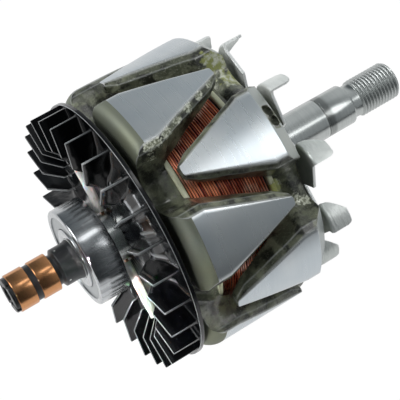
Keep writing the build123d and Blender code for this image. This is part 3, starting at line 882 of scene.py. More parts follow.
@dataclass
class PolePiece:
    """One forged pole piece: a disc with six claws, turned on the outside after assembly.

    In a section u runs out along the shaft from the rotor's middle plane, t sideways from the
    claw's middle line and h up from the shaft's axis.
    """

    name: str
    node: str
    side: int  # -1 rear, 1 front
    first_angle: float
    round_shoulder: bool
    drill_angles: tuple[float, ...] = ()  # balancing drillings
    drill_x: float = -8.0
    drill_r: float = 2.4
    drill_bottom: float = 48.8
    drill_point: float = 1.2  # height of the drill's conical point
    drill_clear: float = 2.7  # how far the cutter stands out of the claw
    claws: int = 6
    rotor_r: float = CLAW_R
    inner_face: float = 16.5
    outer_face: float = 26.8
    land: float = 30.2
    land_r: float = 34.0
    land_break: float = 0.4
    bore_r: float = BODY_R
    shoulder: float = 21.1
    straight: float = 15.8
    tip_reach: float = 15.9
    nose: float = 1.1
    root_half: float = 13.3
    tip_half: float = 2.0
    chamfer_reach: float = 2.06
    chamfer_slope: float = 0.83
    chamfer_fade: float = 4.5  # length before the tip in which the chamfers shrink
    chamfer_loss: float = 0.6  # share of them that is gone at the tip
    under_root_r: float = 43.6
    under_tip_r: float = 50.4
    lift_start: float = 9.0  # past the middle plane, the claw's underside rises towards the tip
    tip_lift: float = 0.9
    valley_r: float = 42.0
    valley_start: float = 18.2
    valley_fall: float = 3.2
    valley_rise: float = 1.8
    fillet: float = 2.2
    wide_fillet: float = 4.4
    fillet_run: float = 3.0  # length over which the fillet widens
    under_corner: float = 0.8
    edge: float = 0.16
    face_mask: float = 1.0  # lathe mask of the claws' faces
    round_mask: float = 0.42  # of a rounded shoulder, which was ground by hand
    bevel_mask: float = 0.74
    pale_valley_mask: float = 0.29  # of the rear valleys near the inner face, which paints them paler
    pale_valley_run: float = 5.5
    scar: float = 0.45  # lathe mask inside a drilling
    ripples: tuple[tuple[float, float], ...] = ((7.0, 0.28), (2.4, 0.1))  # size and depth

    def half_width(self, u: float) -> float:
        """Return half the width of the turned face.

        Args:
            u: Distance out from the middle plane.

        Returns:
            The half width, which ends in the tip's rounded nose.
        """
        nose_u = self.nose - self.tip_reach
        if u >= self.straight:
            return self.root_half
        if u >= nose_u:
            share = (self.straight - u) / (self.straight - nose_u)
            return self.root_half + share * (self.tip_half - self.root_half)
        share = min((nose_u - u) / self.nose, 1.0)
        return self.tip_half - self.nose * (1 - math.sqrt(1 - share * share))

    def wide(self, u: float) -> float:
        """Return half the claw's width over its chamfers, which shrink a little at the tip."""
        near_tip = clamp((self.chamfer_fade - self.tip_reach - u) / self.chamfer_fade) if u < 0 else 0.0
        return self.half_width(u) + self.chamfer_reach * (1 - self.chamfer_loss * near_tip)

    def valley(self, u: float) -> float:
        """Return the valley's radius, which changes towards the outer face."""
        share = clamp((u - self.valley_start) / (self.outer_face - self.valley_start))
        if self.round_shoulder:
            return self.valley_r - self.valley_fall * smooth(share)
        return self.valley_r + self.valley_rise * math.sin(math.pi * share**0.8)

    def under_radius(self, u: float) -> float:
        """Return the radius of the claw's underside, lifted at the tip."""
        share = (self.inner_face - u) / (self.inner_face + self.tip_reach)
        lift = clamp((-u - self.lift_start) / (self.tip_reach - self.lift_start))
        straight = self.under_root_r + share * (self.under_tip_r - self.under_root_r)
        return straight + self.tip_lift * lift * lift

    def top_radius(self, u: float) -> float:
        """Return the outside radius, with the rounded or bevelled shoulder."""
        over = max(u - self.shoulder, 0.0)
        drop = self.outer_face - self.shoulder
        if self.round_shoulder:
            return self.rotor_r - drop + math.sqrt(max(drop * drop - over * over, 0.0))
        return self.rotor_r - over

    def top_edge(self, radius: float, base: float) -> tuple[float, float]:
        """Return where a chamfer meets the turned face.

        Args:
            radius: Outside radius of the claw there.
            base: Where the chamfer's line would meet the height of the axis.

        Returns:
            Place sideways and up.
        """
        slope = self.chamfer_slope
        square = 1 + slope * slope
        up = (base * slope + math.sqrt((base * slope) ** 2 - square * (base**2 - radius**2))) / square
        return base - slope * up, up

    def upper(self, u: float) -> list[Spot]:
        """Return the flank, ridge, chamfer and turned face of half a claw.

        Args:
            u: Distance out from the middle plane.

        Returns:
            The section's points from the lowest ridge point to the top of the claw.
        """
        half, wide = self.half_width(u), self.wide(u)
        radius = self.top_radius(u)
        high = math.sqrt(self.rotor_r**2 - half**2)
        ridge = high - (wide - half) / self.chamfer_slope
        edge_t, edge_h = self.top_edge(radius, half + self.chamfer_slope * high)
        if edge_t > wide - 0.3:  # the bevel has cut the chamfer away
            edge_t = wide - 0.3
            edge_h = math.sqrt(radius**2 - edge_t**2)
            ridge = edge_h - 0.4
        bend = min(0.45, (edge_h - ridge) * 0.4)
        low_t, low_h = wide - bend * self.chamfer_slope, ridge + bend
        # the ridge and the chamfer's top edge are painted pale: a painted highlight line, with some wear
        points = [
            (wide, ridge - bend, 0.0, 0.0),
            (wide - 0.22 * bend, ridge + 0.1 * bend, 0.0, 0.35),
            (low_t, low_h, 0.0, 0.0),
        ]
        for share in (0.3, 0.6):
            points.append((low_t + share * (edge_t - low_t), low_h + share * (edge_h - low_h), 0.0, 0.0))
        points.append((edge_t + self.edge * 0.6, edge_h - self.edge * 0.7, 0.0, 0.8))
        over = self.round_mask if self.round_shoulder else self.bevel_mask
        face = self.face_mask if u <= self.shoulder else over
        angle = math.asin(edge_t / radius) - self.edge / radius
        for step in range(10):
            t = radius * math.sin(angle * (1 - step / 9))
            # the turned face's outer edge gets a painted highlight line
            rubbed_and_shine = 0.9 if step == 0 and face == self.face_mask else 0.0
            points.append((t, math.sqrt(radius**2 - t**2), face, rubbed_and_shine))
        return points

    def flank(self, u: float, bottom: float) -> list[Spot]:
        """Return the straight flank below the ridge, from a height up."""
        top_t, top_h = self.upper(u)[0][:2]
        return [
            (top_t, bottom + (top_h - bottom) * share, 0.0, 0.0) for share in (0.0, 0.15, 0.35, 0.55, 0.78)
        ]

    def root_half_section(self, u: float, valley: float) -> list[Spot]:
        """Return half a sector of the disc's rim, from the valley's middle to the claw's top.

        Args:
            u: Distance out from the middle plane.
            valley: Radius of the valley's floor there.

        Returns:
            The section's points.
        """
        wide = self.wide(u)
        share = clamp((u - self.inner_face) / self.fillet_run)
        fillet = self.fillet + share * (self.wide_fillet - self.fillet)
        centre_t = wide + fillet
        centre_h = math.sqrt((valley + fillet) ** 2 - centre_t**2)
        start = math.degrees(math.atan2(centre_t, centre_h))
        sector = 180 / self.claws
        pale_valley = 0.0
        if self.round_shoulder:
            pale_valley = self.pale_valley_mask * (1 - clamp((u - self.inner_face) / self.pale_valley_run))
        points = []
        for step in range(4):
            angle = math.radians(sector + (start - sector) * step / 4)
            points.append((valley * math.sin(angle), valley * math.cos(angle), pale_valley, 0.0))
        first = math.atan2(-centre_h, -centre_t)
        for step in range(6):
            angle = first + (-math.pi - first) * step / 5
            points.append(
                (centre_t + fillet * math.cos(angle), centre_h + fillet * math.sin(angle), 0.0, 0.0)
            )
        crossing = math.sqrt(self.under_root_r**2 - wide**2)
        return points + self.flank(u, max(crossing, centre_h + 0.01)) + self.upper(u)

    def corner(self, u: float) -> float:
        """Return the radius between a claw's flank and its underside."""
        return min(self.under_corner, 0.4 * (self.inner_face - u))

    def under(self, u: float) -> list[Spot]:
        """Return half the claw's underside, from its middle to the foot of the flank.

        Args:
            u: Distance out from the middle plane.

        Returns:
            The section's points.
        """
        radius, corner = self.under_radius(u), self.corner(u)
        centre_t = self.wide(u) - corner
        centre_h = math.sqrt((radius + corner) ** 2 - centre_t**2)
        start = math.atan2(centre_t, centre_h)
        points = [
            (radius * math.sin(start * step / 5), radius * math.cos(start * step / 5), 0.0, 0.0)
            for step in range(5)
        ]
        first = math.atan2(-centre_h, -centre_t) + 2 * math.pi
        for step in range(4):
            angle = first + (2 * math.pi - first) * step / 4
            points.append(
                (centre_t + corner * math.cos(angle), centre_h + corner * math.sin(angle), 0.0, 0.0)
            )
        return points

    def claw_section(self, u: float) -> list[Spot]:
        """Return the whole closed section of a claw beyond the disc."""
        corner = self.corner(u)
        foot = math.sqrt((self.under_radius(u) + corner) ** 2 - (self.wide(u) - corner) ** 2)
        right = self.under(u) + self.flank(u, foot) + self.upper(u)
        left = [(-t, h, turned, worn) for t, h, turned, worn in reversed(right[1:-1])]
        return right + left

    def claw_angles(self) -> list[float]:
        """Return the angle of each claw's middle line."""
        return [self.first_angle + claw * 360 / self.claws for claw in range(self.claws)]

    def add_section(self, shape: Shape, u: float, section: Sequence[Spot], angle: float) -> list[int]:
        """Add a section's points with their masks, on the claw at an angle.

        Args:
            shape: The forging's shape.
            u: Distance out from the middle plane.
            section: The section's points.
            angle: Angle of the claw in degrees.

        Returns:
            Indices of the points.
        """
        cos, sin = math.cos(math.radians(angle)), math.sin(math.radians(angle))
        x = ROTOR_MIDDLE + self.side * u
        places = [(x, h * cos - t * sin, h * sin + t * cos) for t, h, _, _ in section]
        return list(shape.add_points(places, [spot[2] for spot in section], [spot[3] for spot in section]))

    def rim_row(self, shape: Shape, u: float) -> list[int]:
        """Add one whole turn of the disc's rim with its claw roots."""
        half = self.root_half_section(u, self.valley(u))
        section = [(-t, h, turned, worn) for t, h, turned, worn in half] + list(reversed(half[:-1]))
        row: list[int] = []
        for angle in self.claw_angles():
            row += self.add_section(shape, u, section, angle)
        return row

    def inner_face_edge(self) -> list[Spot]:
        """Return the edge of the disc's inner face over one claw's share of the turn."""
        u = self.inner_face
        half = self.root_half_section(u, self.valley_r)
        rim = half[: len(half) - len(self.upper(u)) - 4]
        left = rim + list(reversed(self.under(u)[:5]))
        right = [(t, h, 0.0, 0.0) for t, h, _, _ in reversed(left[:-1])]
        return [(-t, h, 0.0, 0.0) for t, h, _, _ in left] + right

    def add_inner_face(self, shape: Shape) -> list[int]:
        """Add the inner face, from the bore out to the claws' roots.

        Args:
            shape: The forging's shape.

        Returns:
            Indices of the face's points.
        """
        section = self.inner_face_edge()
        circle = []
        for t, h, _, _ in section:
            size = math.hypot(t, h)
            circle.append((t * self.bore_r / size, h * self.bore_r / size, 0.0, 0.0))
        edge: list[int] = []
        bore: list[int] = []
        for angle in self.claw_angles():
            edge += self.add_section(shape, self.inner_face, section, angle)
            bore += self.add_section(shape, self.inner_face, circle, angle)
        shape.bridge(bore, edge)
        return edge + bore

    def add_disc(self, shape: Shape) -> None:
        """Add the disc's rim, its outer face with the raised land, and its bore.

        Args:
            shape: The forging's shape.
        """
        stations = [self.inner_face, 17.2, 18.0, 19.6, self.shoulder - 0.1, self.shoulder + 0.1]
        drop = self.outer_face - self.shoulder
        for step in range(1, 11):
            share = math.sin(math.pi / 2 * step / 10) if self.round_shoulder else step / 10
            stations.append(self.shoulder + drop * share)
        rows = [self.rim_row(shape, u) for u in stations]
        shape.bridge_all(rows)
        last: Sequence[int] = rows[-1]
        for u, radius in (
            (self.outer_face, self.land_r),
            (self.land, self.land_r - self.land_break),
            (self.land, self.bore_r),
            (self.inner_face, self.bore_r),
        ):
            last = shape.carry(last, ROTOR_MIDDLE + self.side * u, radius)

    def add_claws(self, shape: Shape) -> None:
        """Add the claws beyond the disc, each a loft to its rounded tip.

        Args:
            shape: The forging's shape.
        """
        nose_u = self.nose - self.tip_reach
        reach = [self.inner_face, 16.2, 15.8, 15.0, *np.linspace(13.6, nose_u, 26)]
        reach += [nose_u - self.nose * math.sin(math.radians(angle)) for angle in (20, 40, 60, 78, 90)]
        for angle in self.claw_angles():
            rows = [self.add_section(shape, u, self.claw_section(u), angle) for u in reach]
            shape.bridge_all(rows)
            shape.add_faces([tuple(rows[-1])])

    def build(self) -> Shape:
        """Return the whole forging as one closed mesh."""
        shape = Shape()
        inner = set(self.add_inner_face(shape))
        self.add_disc(shape)
        self.add_claws(shape)
        turned, worn = shape.masks[Mask.TURNED], shape.masks[Mask.WORN]

        def keep(index: int) -> float:
            """Leave turned faces, edges, the bore and both flat faces as they are."""
            if index in inner or math.hypot(*shape.points[index][1:]) < self.land_r + 1:
                return 0.0
            return max(0.0, 1 - turned[index] * 2.4) * max(0.0, 1 - worn[index] * 1.3)

        for size, depth in self.ripples:
            shape.ripple(size, depth, keep)
        shape.pour(VARNISH_POOLS)
        shape.pour(CRUSTS, Mask.CRUST)
        return shape

    def drilling(self, angle: float) -> Shape:
        """Return what the drill takes out of a claw to balance the rotor.

        Args:
            angle: Angle of the drilling in degrees.

        Returns:
            The cutter, a round bar with a conical point.
        """
        cutter = Shape()
        stations = (
            (0.05, self.drill_bottom - self.drill_point),
            (self.drill_r, self.drill_bottom),
            (self.drill_r, self.rotor_r + self.drill_clear),
        )
        cutter.peg(Vector((self.drill_x, 0, 0)), Vector((0, *polar(1.0, angle))), stations, 40, self.scar)
        return cutter

    def assemble(self, finishes: Finishes) -> None:
        """Put the forging in the scene and drill it."""
        piece = place(self.name, self.build(), [finishes.claw_steel], [self.node], "claw_steel", sharp=26)
        for angle in self.drill_angles:
            drill(piece, self.drilling(angle), "drill_cutter")


def drill(piece: bpy.types.Object, cutter: Shape, name: str) -> None:
    """Cut a shape out of a piece.

    Args:
        piece: The piece that is drilled.
        cutter: What the drill takes out.
        name: Name of the cutter while it works.
    """
    mesh = cutter.to_mesh(name, 30.0)
    mesh.materials.append(piece.data.materials[0])
    tool = bpy.data.objects.new(name, mesh)
    bpy.context.scene.collection.objects.link(tool)
    change = piece.modifiers.new("drill", "BOOLEAN")
    change.operation = "DIFFERENCE"
    change.solver = "EXACT"
    change.object = tool
    bpy.context.view_layer.update()
    graph = bpy.context.evaluated_depsgraph_get()
    cut = bpy.data.meshes.new_from_object(piece.evaluated_get(graph))
    piece.modifiers.clear()
    old = piece.data
    piece.data = cut
    bpy.data.meshes.remove(old)
    bpy.data.objects.remove(tool)
    bpy.data.meshes.remove(mesh)


@dataclass
class FieldWinding:
    """The winding on its bobbin, with the spool's cream flanges."""

    half: float = 14.3
    outside_r: float = 42.0
    wire: float = 0.86
    turns: int = 29
    steps: int = 90  # places along one turn
    wander: float = 0.22  # how far a turn strays sideways
    sink: float = 0.3  # how deep a turn may lie
    squeeze: float = 0.88  # share of a wire's thickness that shows, so that turns stay apart
    flange: float = 2.2
    flange_r: float = 43.0
    tube_r: float = COIL_TUBE_R
    core_r: float = 26.1
    inner_break: float = 0.7
    outer_break: float = 0.5
    warp_size: float = 9.0
    warp: float = 0.12  # how far the moulded flanges stray from flat
    warp_from_r: float = 35.0

    def coil(self) -> Shape:
        """Return the top layer of turns as one continuous helix over a solid winding painted dark as shade.
        """
        shape = Shape()
        low = self.outside_r - self.wire * 1.05
        start, end = ROTOR_MIDDLE - self.half, ROTOR_MIDDLE + self.half
        ring = [(start, self.tube_r, 0), (start, low, 0), (end, low, 0), (end, self.tube_r, 0)]
        # slot 1: the solid winding takes the dark wire, painted shade in the gaps between turns
        shape.revolve(rounded(ring), 96, slot=1)
        pitch = 2 * self.half / self.turns
        path = []
        for index in range((self.turns - 1) * self.steps + 1):
            angle = 360 * index / self.steps
            x = start + pitch * (0.5 + index / self.steps)
            stray = noise.noise(Vector((x / 2.1, *polar(3.0, angle))))
            sunk = abs(noise.noise(Vector((x / 0.9, angle / 200, 7.3))))
            radius = self.outside_r - self.wire / 2 - 0.01 - self.sink * sunk
            path.append(around(x + self.wander * stray, radius, angle))
        shape.tube(path, self.wire / 2 * self.squeeze, 8)
        return shape

    def bobbin(self) -> Shape:
        """Return the spool with rounded flange rims."""
        shape = Shape()
        inner, outer = self.half, self.half + self.flange
        rear = [
            (ROTOR_MIDDLE - outer, self.core_r, 0),
            (ROTOR_MIDDLE - outer, self.flange_r, self.outer_break),
            (ROTOR_MIDDLE - inner, self.flange_r, self.inner_break),
            (ROTOR_MIDDLE - inner, self.tube_r, 0),
        ]
        front = [(2 * ROTOR_MIDDLE - x, radius, fillet) for x, radius, fillet in reversed(rear)]
        shape.revolve(rounded(rear + front), 160)

        def keep(index: int) -> float:
            """Leave the tube as it is."""
            return 1.0 if math.hypot(*shape.points[index][1:]) > self.warp_from_r else 0.0

        shape.ripple(self.warp_size, self.warp, keep)
        shape.pour(VARNISH_POOLS)
        return shape

    def assemble(self, finishes: Finishes) -> None:
        """Put the winding, its bobbin and the core in the scene."""
        wires = [finishes.wire_copper, finishes.gap_shade_wire]
        place("field_winding", self.coil(), wires, ["field_coil"], "enamelled_copper", sharp=60)
        place("bobbin", self.bobbin(), [finishes.bobbin_nylon], ["coil_bobbin"], "bobbin_plastic")
        dress("pole_core", finishes.core_steel)


@dataclass
class RearFan:
    """Moulded wheel with 27 unevenly spaced blades, worked out as one height over the disc."""

    back: float = -62.2
    bore_r: float = BODY_R + FAN_GAP
    rim_r: float = 54.0
    flange: float = 1.8
    floor: float = 4.1
    floor_r: float = 36.0
    dish_r: float = 46.0
    top: float = 13.0
    inner_top: float = 6.9
    outer_r: float = 53.1
    bend_r: float = 40.6
    inner_r: float = 34.2
    half: float = 0.5  # half a blade's thickness
    foot_extra: float = 0.12  # how much further out the blade's foot stands
    draft: float = 0.02
    least: float = 0.02  # height of a blade's skirt where it starts
    edge: float = 0.16
    fillet: float = 1.3
    # pale painted highlight at the foot of each blade's fillet
    foot_shine: float = 0.55
    shine_r: float = 45.0  # the fillets' feet carry a painted highlight up to this radius
    far_shine: float = 0.3  # share of the painted highlight on the far side of a blade and on its skirt
    first_angle: float = -3.3
    groups: tuple[tuple[int, float], ...] = ((7, 12.9), (5, 13.54), (8, 13.3), (7, 13.66))

    def angles(self) -> list[float]:
        """Return the angle of each blade."""
        found = [self.first_angle]
        for count, pitch in self.groups:
            for _ in range(count):
                found.append(found[-1] + pitch)
        return found[:-1]

    def ground(self, radius: float) -> float:
        """Return the thickness of the wheel between blades."""
        if radius >= self.dish_r:
            return self.flange
        if radius <= self.floor_r:
            return self.floor
        share = (radius - self.floor_r) / (self.dish_r - self.floor_r)
        return self.floor + smooth(share) * (self.flange - self.floor)

    def blade_top(self, radius: float) -> float:
        """Return the height of a blade's free edge."""
        if radius >= self.bend_r:
            return self.top
        share = max(0.0, (radius - self.inner_r) / (self.bend_r - self.inner_r))
        return self.inner_top + share * (self.top - self.inner_top)

    def blade_section(self, radius: float, standing: bool, droop: float) -> list[Point]:
        """Return a blade's section across the wheel as (sideways, lift, worn).

        Args:
            radius: Distance from the axis.
            standing: Whether the blades stand at this radius.
            droop: How much lower the blades' free edge is here.

        Returns:
            The section's points, from one foot over the free edge to the other.
        """
        height = self.blade_top(radius) - droop - self.ground(radius) if standing else 0.0
        if radius < self.inner_r and standing:
            reach = (radius - self.inner_r + self.fillet) / self.fillet
            height = self.fillet * (1 - math.sqrt(1 - reach * reach)) + self.least
        section: list[Point] = []
        for step in range(5):
            turn = math.pi / 2 * step / 4
            lift = min(self.fillet * (1 - math.cos(turn)), height) if standing else 0.0
            rubbed_and_shine = self.foot_shine if standing and step == 0 and radius < self.shine_r else 0.0
            section.append((self.half + self.foot_extra + self.fillet * (1 - math.sin(turn)), lift, rubbed_and_shine))
        if standing:
            # the blade's free edge is painted pale as a highlight line
            face, small = self.half - self.draft, 0.35 * self.edge
            section += [
                (self.half + 0.04, max(height * 0.6, lift), 0.0),
                (face, max(height - self.edge, lift), 0.0),
                (face - small, max(height - small, lift), 1.0),
                (face - self.edge, max(height, lift), 0.5),
            ]
        else:
            section += [(self.half * share, 0.0, 0.0) for share in (0.8, 0.6, 0.45, 0.3)]
        if radius < self.inner_r:
            section = [(t, lift, rubbed_and_shine * self.far_shine) for t, lift, rubbed_and_shine in section]
        return section + [(-t, lift, rubbed_and_shine * self.far_shine) for t, lift, rubbed_and_shine in reversed(section)]

    def row(self, shape: Shape, radius: float, standing: bool, droop: float = 0.0) -> range:
        """Add one turn of points at a radius.

        Args:
            shape: The fan's shape.
            radius: Distance from the axis.
            standing: Whether the blades stand at this radius.
            droop: How much lower the blades' free edge is here.

        Returns:
            Indices of the points.
        """
        face = self.back - self.ground(radius)
        section = self.blade_section(radius, standing, droop)
        angles = self.angles()
        points, worn = [], []
        foot = math.degrees(math.asin((self.half + self.foot_extra + self.fillet) / radius))
        for angle, ahead in zip(angles, [*angles[1:], angles[0] + 360]):
            for t, lift, rubbed_and_shine in section:
                points.append(around(face - lift, radius, angle - math.degrees(math.asin(t / radius))))
                worn.append(rubbed_and_shine)
            for step in range(1, 4):
                points.append(around(face, radius, angle + foot + (ahead - angle - 2 * foot) * step / 4))
                worn.append(0.0)
        return shape.add_points(points, 0.0, worn)

    def build(self) -> Shape:
        """Return the wheel as one closed mesh."""
        shape = Shape()
        plan: list[tuple[float, bool, float]] = [(self.bore_r, False, 0), (14, False, 0), (22, False, 0)]
        plan += [(30, False, 0), (self.inner_r - self.fillet - 0.1, False, 0)]
        plan += [(self.inner_r - self.fillet * share, True, 0) for share in (0.98, 0.8, 0.55, 0.3, 0.1)]
        plan += [(self.inner_r, True, self.edge * 1.4), (self.inner_r + self.edge, True, 0)]
        plan += [(radius, True, 0) for radius in np.linspace(35, self.bend_r - 0.3, 6)]
        plan += [(radius, True, 0) for radius in np.linspace(self.bend_r + 0.1, self.outer_r - 0.4, 12)]
        plan += [(self.outer_r - self.edge, True, 0), (self.outer_r, True, self.edge * 1.2)]
        plan += [(self.outer_r + 0.05, False, 0), (self.rim_r - 0.3, False, 0)]
        rows = [self.row(shape, *entry) for entry in plan]
        shape.bridge_all(rows)
        last = rows[-1]
        face = self.back - self.flange
        # the rim's front edge is painted pale as a highlight line
        for x, radius, rubbed_and_shine in (
            (face, self.rim_r - 0.16, 0.4),
            (face + 0.07, self.rim_r - 0.05, 0.8),
            (face + 0.22, self.rim_r, 0.0),
            (self.back - 0.26, self.rim_r, 0.0),
            (self.back, self.rim_r - 0.26, 0.0),
            (self.back, self.bore_r, 0.0),
        ):
            last = shape.carry(last, x, radius, rubbed_and_shine)
        shape.bridge(last, rows[0])
        return shape

    def assemble(self, finishes: Finishes) -> None:
        """Put the wheel in the scene."""
        place("rear_fan_wheel", self.build(), [finishes.fan_nylon], ["rear_fan"], "fan_plastic", sharp=40)


@dataclass
class FrontFan:
    """Stamped disc with ten curved ears bent up towards the drive end."""

    back: float = -1.8
    sheet: float = 1.1
    bore_r: float = BODY_R + FAN_GAP
    ears: int = 10
    first_angle: float = 61.0
    height: float = 7.9
    slope_height: float = 1.4
    outer_r: float = 50.6
    mid_r: float = 46.9
    mid_back: float = 6.8
    inner_r: float = 42.0
    inner_back: float = 10.8
    petal_r: float = 42.5
    petal_ahead: float = 14.0
    notch_r: float = 35.0
    notch_ahead: float = 15.5
    bend: float = 1.18  # outside radius of the bend between disc and ear
    overlap: float = 1.6  # how far an ear's foot runs into the disc
    corner_drop: float = 1.6
    inner_corner: float = 0.06  # share of an ear's length that its rounded corner takes
    outer_corner: float = 0.12
    edge: float = 0.18
    steps: int = 22  # places along an ear
    warp_size: float = 6.0
    warp: float = 0.1  # how far the press left the ears from even
    warp_from: float = 1.5  # height above the disc's back from which they stray

    def arc(self, angle: float) -> list[Vector]:
        """Return points of an ear's outside line in the (y, z) plane, from its inner end.

        Args:
            angle: Angle of the ear's outer end in degrees.

        Returns:
            The line's points, on a circle through its two ends and its middle.
        """
        first = Vector(polar(self.inner_r, angle - self.inner_back))
        middle = Vector(polar(self.mid_r, angle - self.mid_back))
        last = Vector(polar(self.outer_r, angle))
        # the circle's centre, from its three points
        ahead, beyond = middle - first, last - first
        twice = 2 * (ahead.x * beyond.y - ahead.y * beyond.x)
        near, far = ahead.length_squared, beyond.length_squared
        offset = Vector((beyond.y * near - ahead.y * far, ahead.x * far - beyond.x * near))
        centre = first + offset / twice
        start = first - centre
        sweep = -start.angle_signed(last - centre)
        return [centre + swing(start, sweep * step / self.steps) for step in range(self.steps + 1)]

    def ear_section(self, share: float) -> list[tuple[float, float, float]]:
        """Return an ear's closed section as (inwards, up, worn).

        Args:
            share: How far along the ear the section is, from its inner end.

        Returns:
            The section's points, round the bend at its foot and the free edge.
        """
        rise = self.slope_height + (self.height - self.slope_height) * min(1.0, share / 0.5) ** 0.8
        corner = min(1.0, share / self.inner_corner, (1 - share) / self.outer_corner)
        rise -= self.corner_drop * (1 - math.sqrt(max(0.0, 1 - (1 - corner) ** 2)))
        rise += self.sheet
        out, inner = self.bend, self.bend - self.sheet
        section = [(out + self.overlap, 0.0, 0.0)]
        for step in range(6):
            turn = math.pi / 2 * step / 5
            section.append((out - out * math.sin(turn), out - out * math.cos(turn), 0.0))
        # the ear's free edge is painted pale, partly as a highlight
        section += [(0.0, rise * 0.6, 0.0), (0.0, rise - 0.2, 0.2), (self.edge, rise, 1.0)]
        section += [
            (self.sheet - self.edge, rise, 1.0),
            (self.sheet, rise - 0.2, 0.2),
            (self.sheet, rise * 0.6, 0.0),
        ]
        for step in range(6):
            turn = math.pi / 2 * (1 - step / 5)
            section.append((out - inner * math.sin(turn), out - inner * math.cos(turn), 0.0))
        section.append((out + self.overlap, self.sheet, 0.0))
        return section

    def add_ear(self, shape: Shape, angle: float) -> list[Vector]:
        """Add one ear.

        Args:
            shape: The stamping's shape.
            angle: Angle of the ear's outer end in degrees.

        Returns:
            The disc's outline behind the ear, in the (y, z) plane.
        """
        line = self.arc(angle)
        outline, rows = [], []
        for index, point in enumerate(line):
            ahead = line[min(index + 1, self.steps)] - line[max(index - 1, 0)]
            inward = Vector((-ahead.y, ahead.x)).normalized()
            if inward.dot(point) > 0:
                inward = -inward
            section = self.ear_section(index / self.steps)
            places = [(self.back + up, *(point + inward * across)) for across, up, _ in section]
            rows.append(shape.add_points(places, 0.0, [worn for _, _, worn in section]))
            outline.append(point + inward * (self.bend + self.overlap - 0.1))
        shape.bridge_all(rows)
        shape.add_faces([tuple(reversed(rows[0])), tuple(rows[-1])])
        return outline

    def add_disc(self, shape: Shape, outline: Sequence[Vector]) -> None:
        """Add the disc with its sheared edge.

        Args:
            shape: The stamping's shape.
            outline: Its outline in the (y, z) plane.
        """
        rings = []
        # the sheared edge is painted pale, partly as a highlight
        for x, grow, rubbed_and_shine in (
            (0.0, -0.08, 0.3),
            (0.12, 0.0, 1.0),
            (self.sheet - 0.12, 0.0, 1.0),
            (self.sheet, -0.08, 0.3),
        ):
            points = [(self.back + x, *(point * (1 + grow / point.length))) for point in outline]
            rings.append(shape.add_points(points, 0.0, rubbed_and_shine))
        shape.bridge_all(rings)
        bores = []
        for x, last in ((0.0, rings[0]), (self.sheet, rings[-1])):
            for radius in (32.0, 20.0, self.bore_r):
                last = shape.carry(last, self.back + x, radius)
            bores.append(last)
        shape.bridge_all(bores)

    def build(self) -> Shape:
        """Return the stamping: a disc, and ears that start flat in it and bend up."""
        shape = Shape()
        outline: list[Vector] = []
        for ear in range(self.ears):
            angle = self.first_angle + 360 / self.ears * ear
            outline += self.add_ear(shape, angle)
            outline.append(Vector(polar(self.petal_r, angle + self.petal_ahead)))
            outline.append(Vector(polar(self.notch_r, angle + self.notch_ahead)))
        self.add_disc(shape, outline)

        def keep(index: int) -> float:
            """Leave the disc as it is."""
            return 1.0 if shape.points[index][0] > self.back + self.warp_from else 0.0

        shape.ripple(self.warp_size, self.warp, keep)
        return shape

    def assemble(self, finishes: Finishes) -> None:
        """Put the stamping in the scene."""
        place("drive_end_fan", self.build(), [finishes.zinc], ["front_fan"], "zinc_sheet", sharp=38)


